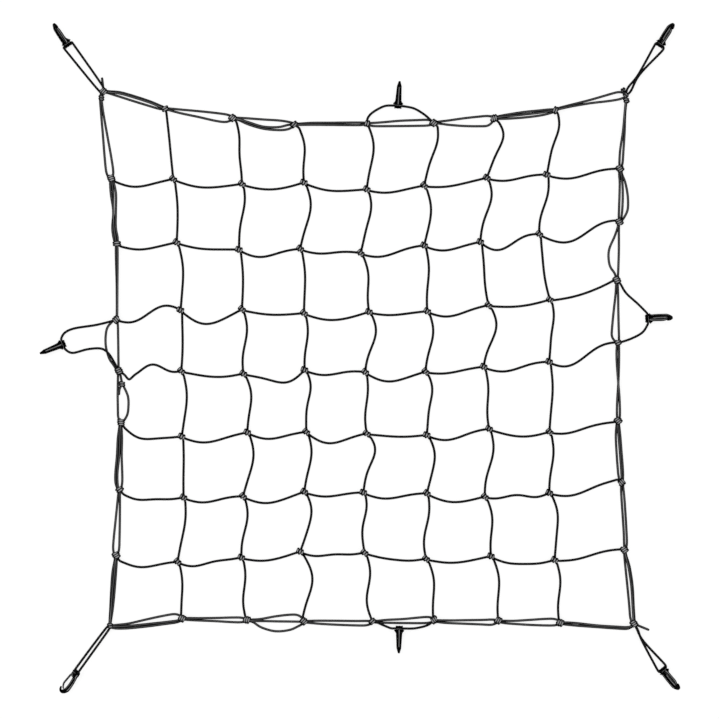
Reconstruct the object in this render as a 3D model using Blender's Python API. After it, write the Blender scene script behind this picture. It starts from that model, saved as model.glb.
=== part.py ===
"""Cargo net of black elastic cord, laid out flat on a surface with its hooks on.

Everything is in metres, +Z up, with the origin on the surface under the middle of the whole layout.
The net is knotted from seven courses and seven uprights of cord, which end in the knots of a
border. The border is two or three cords side by side, knotted together at every mesh. Eight loops
of cord carry a moulded snap hook each: one at every corner and one at the middle of every side.

The layout is drawn on a square sheet, x to the right and y down it, in sheet units. The made size
of the net, NET_SIDE, gives the unit.
"""

import math

import bmesh
import bpy
from mathutils import Matrix, Vector

# Driving sizes, in metres
NET_SIDE = 0.914              # made size of the net, knot to knot: 36 inches
NET_SIDE_UNITS = 525.0        # the same side on the layout sheet
UNIT = NET_SIDE / NET_SIDE_UNITS
SHEET_MIDDLE = (359.8, 358.3)

CORD_DIAMETER = 0.0042
CORD_RADIUS = CORD_DIAMETER / 2
SECTION_SIDES = 5             # a pentagon with a flat side down stands for the round cord
SAME_AREA = math.sqrt(2 * math.pi / (SECTION_SIDES * math.sin(2 * math.pi / SECTION_SIDES)))
SECTION_RADIUS = CORD_RADIUS * SAME_AREA
SECTION_FLAT = SECTION_RADIUS * math.cos(math.pi / SECTION_SIDES)
CLEARANCE = 0.00035           # left between pieces that touch on the real net
FLOOR_GAP = 0.00005
SAME_PLANE = math.radians(2)  # neighbouring facets that meet flatter than this become one
SMALLEST_EDGE = 0.00003

# A knot is a short fat roll with two ridges, its axis lying across the net
KNOT_RIDGE = 0.0066
KNOT_VALLEY = 0.0055
KNOT_END = 0.0040
KNOT_LENGTH = 0.0135
KNOT_RINGS = ((-0.5, KNOT_END), (-0.27, KNOT_RIDGE), (0.0, KNOT_VALLEY), (0.27, KNOT_RIDGE), (0.5, KNOT_END))
KNOT_TURN = math.radians(-50)
NET_KNOT_SWAY = math.radians(20)    # no two knots lie quite alike: each is turned off by up to this
BORDER_KNOT_SWAY = math.radians(25)
SWAY_BY_COURSE = 2.3
SWAY_BY_UPRIGHT = 1.7
KNOT_HEIGHT = KNOT_RIDGE * math.cos(math.pi / SECTION_SIDES) + FLOOR_GAP
CORD_HEIGHT = SECTION_FLAT + FLOOR_GAP
RISE = 0.15                   # share of a span over which the cord climbs into its knot
STRAND_SHARES = (0.0, 0.2, 0.7)           # where a strand of the net bends on a span
SLACK_STRAND_SHARES = (0.0, 0.14, 0.38, 0.72)   # and where it strays further than SLACK
SLACK = 4.3                   # in sheet units
KEPT_NET = 0.9                # share of the facets kept where a cut has left small ones
KEPT_BORDER = 0.95

# Moulded snap hook: x along it from the middle of its eye to its tip, y towards its gate
HOOK_THICKNESS = 0.0094       # at the head; it thins towards the tip
GATE_WIDTH = 0.0050
HOOK_PLAN_HEIGHT = 0.040      # of the blank that the spine and nose are cut from
HEAD_HALF_DEPTH = 0.0052
EYE_X = -0.0002
EYE_RADIUS = CORD_RADIUS + CLEARANCE + 0.0001
EYE_HALF_LENGTH = 0.0062
LOOP_BEND = 0.0026            # radius at which the cord turns round the end of the eye
LOOP_LEAD = 0.0060            # length of cord that leads straight up to that turn or to the eye

# Knots where upright u0 to u8 crosses each course, course 0 at the far side of the sheet
KNOTS = (
    # u0             u1              u2              u3              u4
    # u5             u6              u7              u8
    ((103.8, 91.8), (165.3, 109.0), (232.7, 118.2), (294.3, 124.8), (367.0, 123.7),
     (433.6, 123.2), (493.8, 118.6), (555.0, 110.5), (625.4, 95.5)),
    ((111.4, 178.3), (173.7, 179.4), (242.3, 184.4), (304.3, 182.9), (367.0, 189.8),
     (424.4, 186.0), (486.9, 178.3), (546.9, 175.0), (619.6, 168.7)),
    ((117.1, 243.8), (177.1, 242.8), (239.5, 250.0), (300.5, 249.2), (360.9, 253.5),
     (424.4, 245.8), (480.5, 242.3), (539.4, 234.5), (619.0, 222.0)),
    ((116.6, 319.6), (181.1, 310.4), (242.3, 309.6), (304.3, 313.5), (369.3, 312.2),
     (427.5, 311.6), (488.7, 305.5), (550.1, 300.0), (616.5, 280.1)),
    ((119.1, 370.9), (181.7, 371.2), (243.8, 373.9), (305.0, 370.1), (365.5, 372.4),
     (425.7, 371.9), (483.8, 367.0), (549.2, 362.0), (617.8, 342.6)),
    ((121.2, 422.2), (182.2, 436.7), (247.7, 432.6), (306.6, 432.1), (367.0, 433.6),
     (427.0, 435.2), (489.2, 429.0), (549.6, 432.1), (617.8, 420.6)),
    ((119.9, 489.2), (184.0, 497.6), (243.4, 496.5), (304.6, 491.9), (363.7, 492.6),
     (427.0, 493.5), (485.0, 496.8), (549.4, 493.0), (621.4, 482.3)),
    ((116.3, 555.0), (178.0, 561.9), (241.8, 557.6), (300.5, 551.6), (364.8, 552.7),
     (426.3, 558.8), (491.1, 556.2), (554.7, 560.0), (624.0, 549.4)),
    ((110.5, 625.4), (182.2, 618.2), (246.9, 619.6), (304.0, 621.1), (372.4, 621.1),
     (434.1, 619.6), (498.0, 620.2), (560.0, 622.5), (633.6, 623.3)),
)
LAST = len(KNOTS) - 1

# How far each span of cord strays from the straight line between its two knots, in sheet units,
# at a quarter and at three quarters of the way: down the sheet for a course
COURSE_STRAY = {
    # course: u0-u1,      u1-u2,       u2-u3,      u3-u4,      u4-u5,      u5-u6,      u6-u7,      u7-u8
    1: ((6.9, 3.5), (4.9, 3.2), (4.4, 3.7), (4.1, 2.6), (3.7, 1.7), (2.9, 1.5), (3.3, -0.1), (5.2, 0.1)),
    2: ((5.1, 2.8), (2.7, 1.4), (6.6, 1.9), (2.9, -0.5), (5.2, 0.7), (5.2, 2.2), (9.6, 0.0), (10.7, 0.7)),
    3: ((4.6, -6.9), (11.4, 7.6), (2.6, 2.0), (5.6, 4.3), (2.7, 1.2), (6.2, 2.2), (2.6, 2.4), (3.8, 3.1)),
    4: ((3.6, -1.3, -6.3), (2.8, 3.2), (4.3, 10.6), (4.0, -0.2),
        (7.8, 4.5), (2.8, 0.8), (5.6, 0.5), (9.1, -1.5)),
    5: ((10.6, 4.8), (6.3, 2.6), (5.7, 2.2), (9.2, 4.3), (1.5, 1.7), (6.2, 1.5), (4.0, 4.3), (4.0, 0.2)),
    6: ((7.4, 3.8), (4.7, 0.8), (6.9, 4.3), (3.9, 1.2), (5.1, 1.4), (5.6, 4.2), (1.3, 2.9), (5.5, -0.7)),
    7: ((7.9, 3.7), (5.4, 1.2), (4.3, 3.1), (3.7, 2.0), (3.1, 3.4), (4.0, 2.8), (5.5, 4.4), (2.5, -1.1)),
}
# and to the right of the sheet for an upright
UPRIGHT_STRAY = {
    # upright: c0-c1,     c1-c2,      c2-c3,      c3-c4,      c4-c5,      c5-c6,      c6-c7,      c7-c8
    1: ((0.5, 0.0), (1.9, 1.3), (3.7, 2.0), (0.9, 0.9), (4.2, 2.2), (0.8, 0.0), (3.0, 1.1), (2.5, 0.6)),
    2: ((3.7, 0.9), (3.0, 0.6), (1.8, 1.2), (4.0, -0.6), (5.3, 2.0), (6.3, 3.2), (4.3, 0.1), (2.0, -2.2)),
    3: ((6.0, 1.7), (6.8, 2.8), (2.6, 1.2), (3.0, 0.1), (5.2, 0.2), (4.9, 1.8), (7.3, 4.0), (9.5, 4.3)),
    4: ((5.9, 2.3), (5.7, 2.4), (4.0, 0.6), (7.1, 1.3), (1.8, -1.4), (8.5, 1.3), (2.3, -2.0), (3.1, -3.5)),
    5: ((6.2, 2.3), (5.4, 3.4), (3.1, 0.3), (5.6, 2.1), (6.1, 1.9), (7.1, 3.6), (2.2, -2.5), (4.3, 1.0)),
    6: ((10.9, 4.0), (6.2, 1.3), (0.5, -1.0), (8.3, 2.3), (2.5, -0.5), (5.1, 0.0), (4.5, 1.1), (4.8, 1.3)),
    7: ((6.1, 2.3), (3.1, -1.1), (-0.4, -1.6), (3.6, 1.5), (2.8, 1.2), (3.5, 0.6), (6.1, 2.7), (3.6, -0.5)),
}

# The border's cords over each span, outermost first: how far each lies outside the straight line
# between the two knots, in sheet units, at a quarter and three quarters of the way, and in the
# middle where a third number is given
BORDER = {
    "top": (
        ((3.8, 4.4), (-0.9, -1.3)),
        ((1.7, 2.9), (-1.7, -4.6)),
        ((1.6, 2.6), (-2.9, -3.3), (-5.1, -7.4)),
        ((1.6, 1.6), (-0.6, -1.5)),
        ((1.2, 2.7), (-2.8, -2.7)),
        ((1.1, 2.9), (-2.7, -6.4)),
        ((3.0, 3.5), (1.0, 1.4), (-1.6, -2.6)),
        ((2.2, 1.9), (0.0, -2.7)),
    ),
    "right": (
        ((2.8, 2.7), (0.9, -1.3)),
        ((5.2, 8.2), (2.0, 3.2), (-0.4, 0.0)),
        ((0.4, 1.5), (-4.8, -8.0, -9.2)),
        ((0.7, 1.2), (-2.1, -5.6)),
        ((1.4, -0.6), (-1.0, 1.6)),
        ((1.2, 1.8), (-0.2, -0.7), (-2.8, -2.7)),
        ((2.3, 3.2), (-0.6, 0.2)),
        ((2.8, 3.5, 4.6), (1.6, 1.1), (-1.0, -0.9)),
    ),
    "bottom": (
        ((4.1, 3.4), (1.8, 1.6), (-0.5, -5.3)),
        ((1.2, 2.3), (-0.9, -2.0)),
        ((6.2, 9.3, 10.0), (0.1, 0.6), (-2.5, -6.8)),
        ((2.5, 3.7), (-1.0, -0.6)),
        ((1.7, 2.4), (-1.7, -3.0)),
        ((2.6, 3.8), (-0.2, -0.5)),
        ((3.1, 4.0), (-0.8, -2.9)),
        ((2.9, 5.1), (0.3, 2.9)),
    ),
    "left": (
        ((4.2, 3.9), (1.0, -1.5)),
        ((1.4, 2.7), (-1.0, 0.6), (-3.1, -1.4)),
        ((1.5, 0.8), (-1.0, -1.3)),
        ((11.3, 10.6, 12.6), (-1.0, -0.3)),
        ((1.0, 2.5), (-2.9, -8.0, -7.6)),
        ((3.0, 4.3), (0.7, 2.0), (-1.2, -2.4)),
        ((1.4, 3.2), (-1.1, -2.5)),
        ((2.4, 2.1), (0.3, 0.3), (-1.8, -1.8)),
    ),
}
BORDER_END_MOST = 1.8         # a border cord enters its knot no further off the middle than this
BORDER_SPACING = 0.0051       # least distance between the middles of neighbouring border cords
BORDER_END_SHARE = 0.5        # of the offset a quarter of the way along that is left at the knot
TAIL_RISE = 0.0015            # of a cut end halfway down from its knot
SPAN_SHARES = (0, 0.22, 0.75, 1)            # where a border cord bends on its span
BOW_SHARES = (0, 0.12, 0.32, 0.5, 0.68, 0.88, 1)    # and where it bows further out or in than BOW
BOW = 5.0                     # in sheet units

# Lumps that some border knots have beside their middle: x, y on the sheet and size
SECOND_LUMPS = ((101.8, 98.6, 0.8), (626.2, 100.0, 1.0), (122.5, 383.9, 0.85))
# Cut ends of cord: the points that each follows on the sheet
TAILS = (
    ((103.8, 91.8), (103.0, 85.0), (102.2, 78.6)),
    ((633.6, 623.3), (640.0, 626.2), (648.2, 629.6)),
    ((122.5, 383.9), (119.8, 388.8), (119.1, 394.0)),
)

# Hooks: eye and direction on the sheet, roll of the gate away from straight up, in degrees, with
# a plus where it leans to the right of the hook as seen from its eye, and the loop that carries it.
# A loop runs from a knot (course, upright) by its own points (x, y, height in cord diameters) to
# the eye, and from there to its other knot. Where it turns the corner at the eye, turns is True.
HOOKS = {
    "top": dict(
        eye=(398.0, 106.0), toward=(1.6, -24.5), roll=0, turns=False,
        start=(0, 4), out=((367.6, 118.6, 2.0), (372.6, 112.6, 0.9), (384.0, 106.4, 0.9)),
        back=((414.0, 108.6, 0.9), (424.0, 114.6, 1.4), (429.0, 119.0, 2.0)), end=(0, 5)),
    "left": dict(
        eye=(63.1, 344.2), toward=(-21.9, 9.0), roll=0, turns=False,
        start=(4, 0), out=((114.6, 362.4, 2.0), (109.0, 353.6, 2.0), (101.5, 348.6, 1.2),
                           (88.0, 349.2, 0.6), (72.5, 353.0, 0.7)),
        back=((64.8, 332.8, 0.8), (74.5, 328.4, 0.6), (95.0, 325.2, 0.6), (109.0, 322.0, 1.8)), end=(3, 0)),
    "right": dict(
        eye=(647.6, 318.6), toward=(23.7, -2.6), roll=24, turns=False,
        start=(3, 8), out=((620.0, 283.8, 1.8), (626.0, 293.2, 0.7), (638.0, 304.2, 0.8)),
        back=((642.6, 332.2, 0.8), (632.6, 338.0, 0.7), (622.6, 341.6, 1.8)), end=(4, 8)),
    "bottom": dict(
        eye=(399.2, 628.3), toward=(-0.5, 25.2), roll=0, turns=False,
        start=(8, 5), out=((430.2, 623.2, 2.2), (424.6, 626.0, 1.4), (414.0, 628.2, 1.2)),
        back=((391.0, 628.1, 1.2), (382.5, 624.6, 1.6), (376.0, 621.6, 2.2)), end=(8, 4)),
    "top_left": dict(
        eye=(67.6, 44.6), toward=(-14.4, -19.6), roll=15, turns=True,
        start=(0, 0), out=((102.0, 85.0, 1.3),),
        back=((98.8, 90.6, 1.3),), end=(0, 0)),
    "top_right": dict(
        eye=(659.9, 44.8), toward=(11.4, -21.1), roll=22, turns=True,
        start=(0, 8), out=((627.8, 87.8, 1.3), (638.0, 75.0, 0.6)),
        back=((639.2, 75.0, 2.0), (630.4, 91.6, 1.3)), end=(0, 8)),
    "bottom_right": dict(
        eye=(662.9, 669.8), toward=(13.7, 19.6), roll=-27, turns=True,
        start=(8, 8), out=((636.0, 627.6, 1.8), (643.0, 640.6, 0.6)),
        back=((641.6, 640.4, 2.0), (637.4, 629.4, 2.4)), end=(8, 8)),
    "bottom_left": dict(
        eye=(76.6, 672.3), toward=(-11.2, 21.1), roll=64, turns=True,
        start=(8, 0), out=((108.2, 630.6, 1.3),),
        back=((105.4, 629.0, 1.3),), end=(8, 0)),
}

BLACK_CORD = ("black_cord", (0.022, 0.022, 0.024), 0.75)
BLACK_BORDER = ("black_border_cord", (0.026, 0.026, 0.028), 0.72)
BLACK_NYLON = ("black_nylon", (0.012, 0.012, 0.013), 0.42)


def on_sheet(spot, height=0.0):
    """World point of a spot on the layout sheet, at a height above the surface."""
    return Vector(((spot[0] - SHEET_MIDDLE[0]) * UNIT, (SHEET_MIDDLE[1] - spot[1]) * UNIT, height))


def remove_all_objects():
    for thing in list(bpy.data.objects):
        bpy.data.objects.remove(thing)


def material(look):
    name, colour, roughness = look
    made = bpy.data.materials.new(name)
    made.use_nodes = True
    shader = made.node_tree.nodes["Principled BSDF"]
    shader.inputs["Base Color"].default_value = (*colour, 1.0)
    shader.inputs["Roughness"].default_value = roughness
    return made


def new_collection(name):
    made = bpy.data.collections.new(name)
    bpy.context.scene.collection.children.link(made)
    return made


def section(name, radius, guides):
    """Pentagon with a flat side down, the cross-section that a cord's curve is bevelled with."""
    outline = bpy.data.curves.new(name, "CURVE")
    outline.dimensions = "2D"
    ring = outline.splines.new("POLY")
    ring.points.add(SECTION_SIDES - 1)
    for number, point in enumerate(ring.points):
        angle = math.pi / 2 + 2 * math.pi * number / SECTION_SIDES
        point.co = (radius * math.cos(angle), radius * math.sin(angle), 0.0, 1.0)
    ring.use_cyclic_u = True
    guide = bpy.data.objects.new(name, outline)
    guide.hide_render = True
    guide.display_type = "WIRE"
    guides.objects.link(guide)
    return guide


def finished_mesh(made, name):
    """Mesh of an object with its curve and modifiers worked out, in place, closed and facing out."""
    bpy.context.view_layer.update()
    shape = bpy.data.meshes.new_from_object(made.evaluated_get(bpy.context.evaluated_depsgraph_get()))
    shape.name = name
    shape.transform(made.matrix_world)
    work = bmesh.new()
    work.from_mesh(shape)
    bmesh.ops.remove_doubles(work, verts=work.verts, dist=1e-6)
    bmesh.ops.recalc_face_normals(work, faces=work.faces)
    work.to_mesh(shape)
    work.free()
    return shape


def cord(points, outline, scales=None):
    """Mesh of a cord along points, its section scaled at each point where scales are given."""
    route = bpy.data.curves.new("cord", "CURVE")
    route.dimensions = "3D"
    route.twist_mode = "Z_UP"
    route.bevel_mode = "OBJECT"
    route.bevel_object = outline
    route.use_fill_caps = True
    line = route.splines.new("POLY")
    line.points.add(len(points) - 1)
    for number, (point, place) in enumerate(zip(line.points, points)):
        point.co = (*place, 1.0)
        point.radius = scales[number] if scales else 1.0
    made = bpy.data.objects.new("cord", route)
    bpy.context.scene.collection.objects.link(made)
    shape = finished_mesh(made, "cord")
    bpy.data.objects.remove(made)
    return shape


def largest_body(shape):
    """Drops the crumbs that a cut leaves beside the main body, and merges its doubled points."""
    work = bmesh.new()
    work.from_mesh(shape)
    left = set(work.verts)
    bodies = []
    while left:
        body, edge = set(), [left.pop()]
        while edge:
            vert = edge.pop()
            body.add(vert)
            for link in vert.link_edges:
                other = link.other_vert(vert)
                if other in left:
                    left.discard(other)
                    edge.append(other)
        bodies.append(body)
    bodies.sort(key=len)
    crumbs = [vert for body in bodies[:-1] for vert in body]
    bmesh.ops.delete(work, geom=crumbs, context="VERTS")
    bmesh.ops.dissolve_limit(work, angle_limit=SAME_PLANE, verts=work.verts, edges=work.edges)
    bmesh.ops.triangulate(work, faces=work.faces)
    bmesh.ops.dissolve_degenerate(work, dist=SMALLEST_EDGE, edges=work.edges)
    bmesh.ops.triangulate(work, faces=work.faces)
    work.to_mesh(shape)
    work.free()


def combined(shapes, operation, name, own_overlaps=False):
    """The first mesh joined with the others, or cut by them."""
    workshop = new_collection("workshop")
    objects = [bpy.data.objects.new("piece", shape) for shape in shapes]
    bpy.context.scene.collection.objects.link(objects[0])
    for other in objects[1:]:
        workshop.objects.link(other)
    change = objects[0].modifiers.new("change", "BOOLEAN")
    change.operation = operation
    change.operand_type = "COLLECTION"
    change.collection = workshop
    change.solver = "EXACT"
    change.use_self = own_overlaps
    shape = finished_mesh(objects[0], name)
    for each in objects:
        bpy.data.objects.remove(each)
    bpy.data.collections.remove(workshop)
    largest_body(shape)
    return shape


def simplified(shape, kept):
    """The mesh with its smallest facets merged, until a share of them is left."""
    made = bpy.data.objects.new("simplified", shape)
    bpy.context.scene.collection.objects.link(made)
    change = made.modifiers.new("change", "DECIMATE")
    change.ratio = kept
    result = finished_mesh(made, shape.name)
    bpy.data.objects.remove(made)
    return result


def stray(quarters, share):
    """Distance off the straight line at a share of the way: three sine waves through the values
    at a quarter, the middle and three quarters; with no middle given, the third wave is nought."""
    first, last = quarters[0], quarters[1]
    whole = (first + last) / math.sqrt(2)
    middle = quarters[2] if len(quarters) > 2 else whole
    wave_1 = (whole + middle) / 2
    wave_2 = (first - last) / 2
    wave_3 = (whole - middle) / 2
    turn = math.pi * share
    return wave_1 * math.sin(turn) + wave_2 * math.sin(2 * turn) + wave_3 * math.sin(3 * turn)


def height_on_span(share):
    """A cord lies on the surface but climbs into the knot at either end of its span."""
    near_knot = max(0.0, 1.0 - min(share, 1.0 - share) / RISE)
    return CORD_HEIGHT + (KNOT_HEIGHT - CORD_HEIGHT) * near_knot


def span_points(start, end, across, quarters, shares):
    """Points along one span between two knots, straying along the sheet direction across."""
    points = []
    for share in shares:
        off = stray(quarters, share)
        spot = [start[k] + (end[k] - start[k]) * share + across[k] * off for k in (0, 1)]
        points.append(on_sheet(spot, height_on_span(share)))
    return points


def strand(knots, across, strays):
    """A whole course or upright of the net, from one border knot to the opposite one."""
    points = []
    for number, quarters in enumerate(strays):
        shares = SLACK_STRAND_SHARES if max(map(abs, quarters)) > SLACK else STRAND_SHARES
        points += span_points(knots[number], knots[number + 1], across, quarters, shares)
    points.append(on_sheet(knots[-1], KNOT_HEIGHT))
    return points


def knot_lump(spot, turn, size, outline, scale, grow):
    """A knot: a short roll, thick at two ridges and thinner at its ends and between them."""
    along = Vector((math.cos(turn), math.sin(turn), 0.0))
    middle = on_sheet(spot, KNOT_HEIGHT * size)
    points = [middle + along * (KNOT_LENGTH * size + 2 * grow) * place for place, _ in KNOT_RINGS]
    scales = [(radius * size + grow) / scale for _, radius in KNOT_RINGS]
    return cord(points, outline, scales)


def border_sides():
    """Name, knots in order and outward direction on the sheet of each side of the net."""
    return (
        ("top", [KNOTS[0][n] for n in range(LAST + 1)], (0, -1)),
        ("right", [KNOTS[n][LAST] for n in range(LAST + 1)], (1, 0)),
        ("bottom", [KNOTS[LAST][n] for n in range(LAST + 1)], (0, 1)),
        ("left", [KNOTS[n][0] for n in range(LAST + 1)], (-1, 0)),
    )


def border_offsets(cords, share):
    """How far out each cord of a border span lies at a share of the way, in sheet units."""
    offsets = []
    for quarters in cords:
        ends = [BORDER_END_SHARE * value for value in quarters[:2]]
        ends = [max(-BORDER_END_MOST, min(BORDER_END_MOST, value)) for value in ends]
        level = [ends[0] + (ends[1] - ends[0]) * at for at in (0.25, 0.75, 0.5)]
        rest = [value - base for value, base in zip(quarters, level)]
        offsets.append(ends[0] + (ends[1] - ends[0]) * share + stray(rest, share))
    return offsets


def border_cords(knots, outward, spans):
    """Points of every cord along one side. The outer and inner cord of a bundle lie on the surface,
    and the one between them rests on both where they leave it no room."""
    routes = []
    for number, cords in enumerate(spans):
        start, end = Vector(knots[number]), Vector(knots[number + 1])
        along = (end - start).normalized()
        across = Vector((-along.y, along.x))
        if across.dot(Vector(outward)) < 0:
            across.negate()
        deepest = max(abs(value) for quarters in cords for value in quarters)
        shares = BOW_SHARES if deepest > BOW else SPAN_SHARES
        lifted = 1
        for place in range(len(cords)):
            points = []
            for share in shares:
                offsets = border_offsets(cords, share)
                height = height_on_span(share)
                if place == lifted:
                    room = min(abs(offsets[place] - other) for other in offsets[:place] + offsets[place + 1:])
                    height += math.sqrt(max(0.0, BORDER_SPACING ** 2 - (room * UNIT) ** 2)) * min(
                        1.0, 4 * share, 4 * (1 - share))
                points.append(on_sheet(start.lerp(end, share) + across * offsets[place], height))
            routes.append(points)
    return routes


def border_pieces(outline, scale, grow):
    """Meshes of all the cords, knots and cut ends of the border, grown by a margin for a cutter."""
    pieces = []
    for name, knots, outward in border_sides():
        for number, spot in enumerate(knots[:-1] if name in ("top", "right") else knots[1:]):
            turn = KNOT_TURN + BORDER_KNOT_SWAY * math.sin(SWAY_BY_COURSE * number + len(name))
            pieces.append(knot_lump(spot, turn, 1.0, outline, scale, grow))
        pieces += [cord(points, outline) for points in border_cords(knots, outward, BORDER[name])]
    for x, y, size in SECOND_LUMPS:
        pieces.append(knot_lump((x, y), KNOT_TURN, size, outline, scale, grow))
    for spots in TAILS:
        heights = (KNOT_HEIGHT, CORD_HEIGHT + TAIL_RISE, CORD_HEIGHT)
        pieces.append(cord([on_sheet(spot, height) for spot, height in zip(spots, heights)], outline))
    return pieces


def extruded(outline_points, thickness, name):
    """Mesh of a flat outline (x, y) made thick evenly either side of z = 0."""
    flat = bpy.data.curves.new(name, "CURVE")
    flat.dimensions = "2D"
    flat.fill_mode = "BOTH"
    flat.extrude = thickness / 2
    ring = flat.splines.new("POLY")
    ring.points.add(len(outline_points) - 1)
    for point, (x, y) in zip(ring.points, outline_points):
        point.co = (x, y, 0.0, 1.0)
    ring.use_cyclic_u = True
    made = bpy.data.objects.new(name, flat)
    bpy.context.scene.collection.objects.link(made)
    shape = finished_mesh(made, name)
    bpy.data.objects.remove(made)
    return shape


def millimetres(points):
    return [(x / 1000, y / 1000) for x, y in points]


# Outlines of the hook in millimetres. Spine, bend and nose seen from the side: x along, y to the gate
HOOK_SIDE = (
    (4.0, -4.4), (18.0, -4.7), (31.0, -4.2), (37.5, -2.0), (41.6, 1.6), (43.0, 5.6),
    (42.0, 9.8), (39.0, 12.8), (35.5, 13.9), (32.0, 13.6),
    (32.2, 12.0), (35.0, 11.6), (36.6, 9.8), (36.8, 7.2), (35.4, 4.8), (32.0, 3.2),
    (26.0, 1.6), (16.0, 0.2), (4.0, -0.6))
# The springy gate from its root in the head to its end inside the nose
GATE_SIDE = (
    (2.5, 3.4), (7.0, 6.3), (24.0, 10.5), (28.5, 9.9), (33.8, 7.0),
    (34.6, 8.5), (29.2, 11.6), (24.0, 12.3), (6.0, 8.2), (2.5, 5.6))
# Spine, bend and nose seen from the gate's side: x along, y to either side
SHANK_TOP = (
    (4.0, -4.6), (12.0, -4.5), (30.0, -4.1), (38.0, -3.2), (42.2, -1.9), (44.0, -0.9),
    (44.0, 0.9), (42.2, 1.9), (38.0, 3.2), (30.0, 4.1), (12.0, 4.5), (4.0, 4.6))
# The head seen from the gate's side: x along, y to the ends of the eye. The cord passes in front of
# its narrow bar and comes out behind its wide cheeks
HEAD_TOP = (
    (-5.2, -6.2), (2.3, -6.2), (1.9, -9.3), (3.6, -9.3), (8.0, -4.2),
    (8.0, 4.2), (3.6, 9.3), (1.9, 9.3), (2.3, 6.2), (-5.2, 6.2))
EYE_CUT_LENGTH = 0.030


def hook_mesh():
    """One snap hook round its own origin, the middle of its eye."""
    side = extruded(millimetres(HOOK_SIDE), HOOK_THICKNESS, "spine_and_nose")
    plan = extruded(millimetres(SHANK_TOP), HOOK_PLAN_HEIGHT, "plan")
    plan.transform(Matrix.Rotation(math.radians(90), 4, "X"))
    side = combined([side, plan], "INTERSECT", "spine_and_nose")
    gate = extruded(millimetres(GATE_SIDE), GATE_WIDTH, "gate")
    head = extruded(millimetres(HEAD_TOP), 2 * HEAD_HALF_DEPTH, "head")
    head.transform(Matrix.Rotation(math.radians(90), 4, "X"))
    bpy.ops.mesh.primitive_cylinder_add(vertices=8, radius=EYE_RADIUS / math.cos(math.pi / 8),
                                        depth=EYE_CUT_LENGTH, location=(EYE_X, 0, 0))
    drill = bpy.context.object
    eye = finished_mesh(drill, "eye")
    bpy.data.objects.remove(drill)
    solid = combined([head, side, gate], "UNION", "solid")
    return combined([solid, eye], "DIFFERENCE", "snap_hook")


def hook_frame(hook, lowest):
    """Placing of a hook: its own x, y and z axes, and its eye high enough for it to rest."""
    along = on_sheet((SHEET_MIDDLE[0] + hook["toward"][0], SHEET_MIDDLE[1] + hook["toward"][1])).normalized()
    right = Vector((along.y, -along.x, 0.0))
    lean = math.radians(hook["roll"])
    to_gate = Vector((0, 0, 1)) * math.cos(lean) + right * math.sin(lean)
    through = along.cross(to_gate)
    turned = Matrix((along, to_gate, through)).transposed()
    place = on_sheet(hook["eye"], FLOOR_GAP - lowest(turned))
    return Matrix.Translation(place) @ turned.to_4x4()


def loop_points(hook, frame):
    """The cord of one loop: out from a knot, through the eye of the hook and back to a knot."""
    def raised(points):
        return [on_sheet((x, y), CORD_HEIGHT + (diameters - 0.5) * CORD_DIAMETER if diameters > 0.5
                         else CORD_HEIGHT) for x, y, diameters in points]

    def in_hook(x, z):
        return frame @ Vector((x, 0, z))

    first = on_sheet(KNOTS[hook["start"][0]][hook["start"][1]], KNOT_HEIGHT)
    last = on_sheet(KNOTS[hook["end"][0]][hook["end"][1]], KNOT_HEIGHT)
    out, back = raised(hook["out"]), raised(hook["back"])
    nearest = out[-1] - frame.translation
    side = 1 if nearest.dot(frame.col[2].to_3d()) > 0 else -1
    if hook["turns"]:
        bend_x = EYE_X - LOOP_BEND
        turns = [(bend_x + LOOP_BEND * math.cos(angle), EYE_HALF_LENGTH + LOOP_BEND * math.sin(angle))
                 for angle in (math.radians(90), math.radians(45), 0.0)]
        turns.insert(0, (bend_x - LOOP_LEAD, EYE_HALF_LENGTH + LOOP_BEND))
    else:
        turns = [(EYE_X, EYE_HALF_LENGTH + LOOP_LEAD), (EYE_X, EYE_HALF_LENGTH)]
    going_in = [in_hook(x, side * z) for x, z in turns]
    coming_out = [in_hook(x, -side * z) for x, z in reversed(turns)]
    return [first, *out, *going_in, *coming_out, *back, last]


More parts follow.
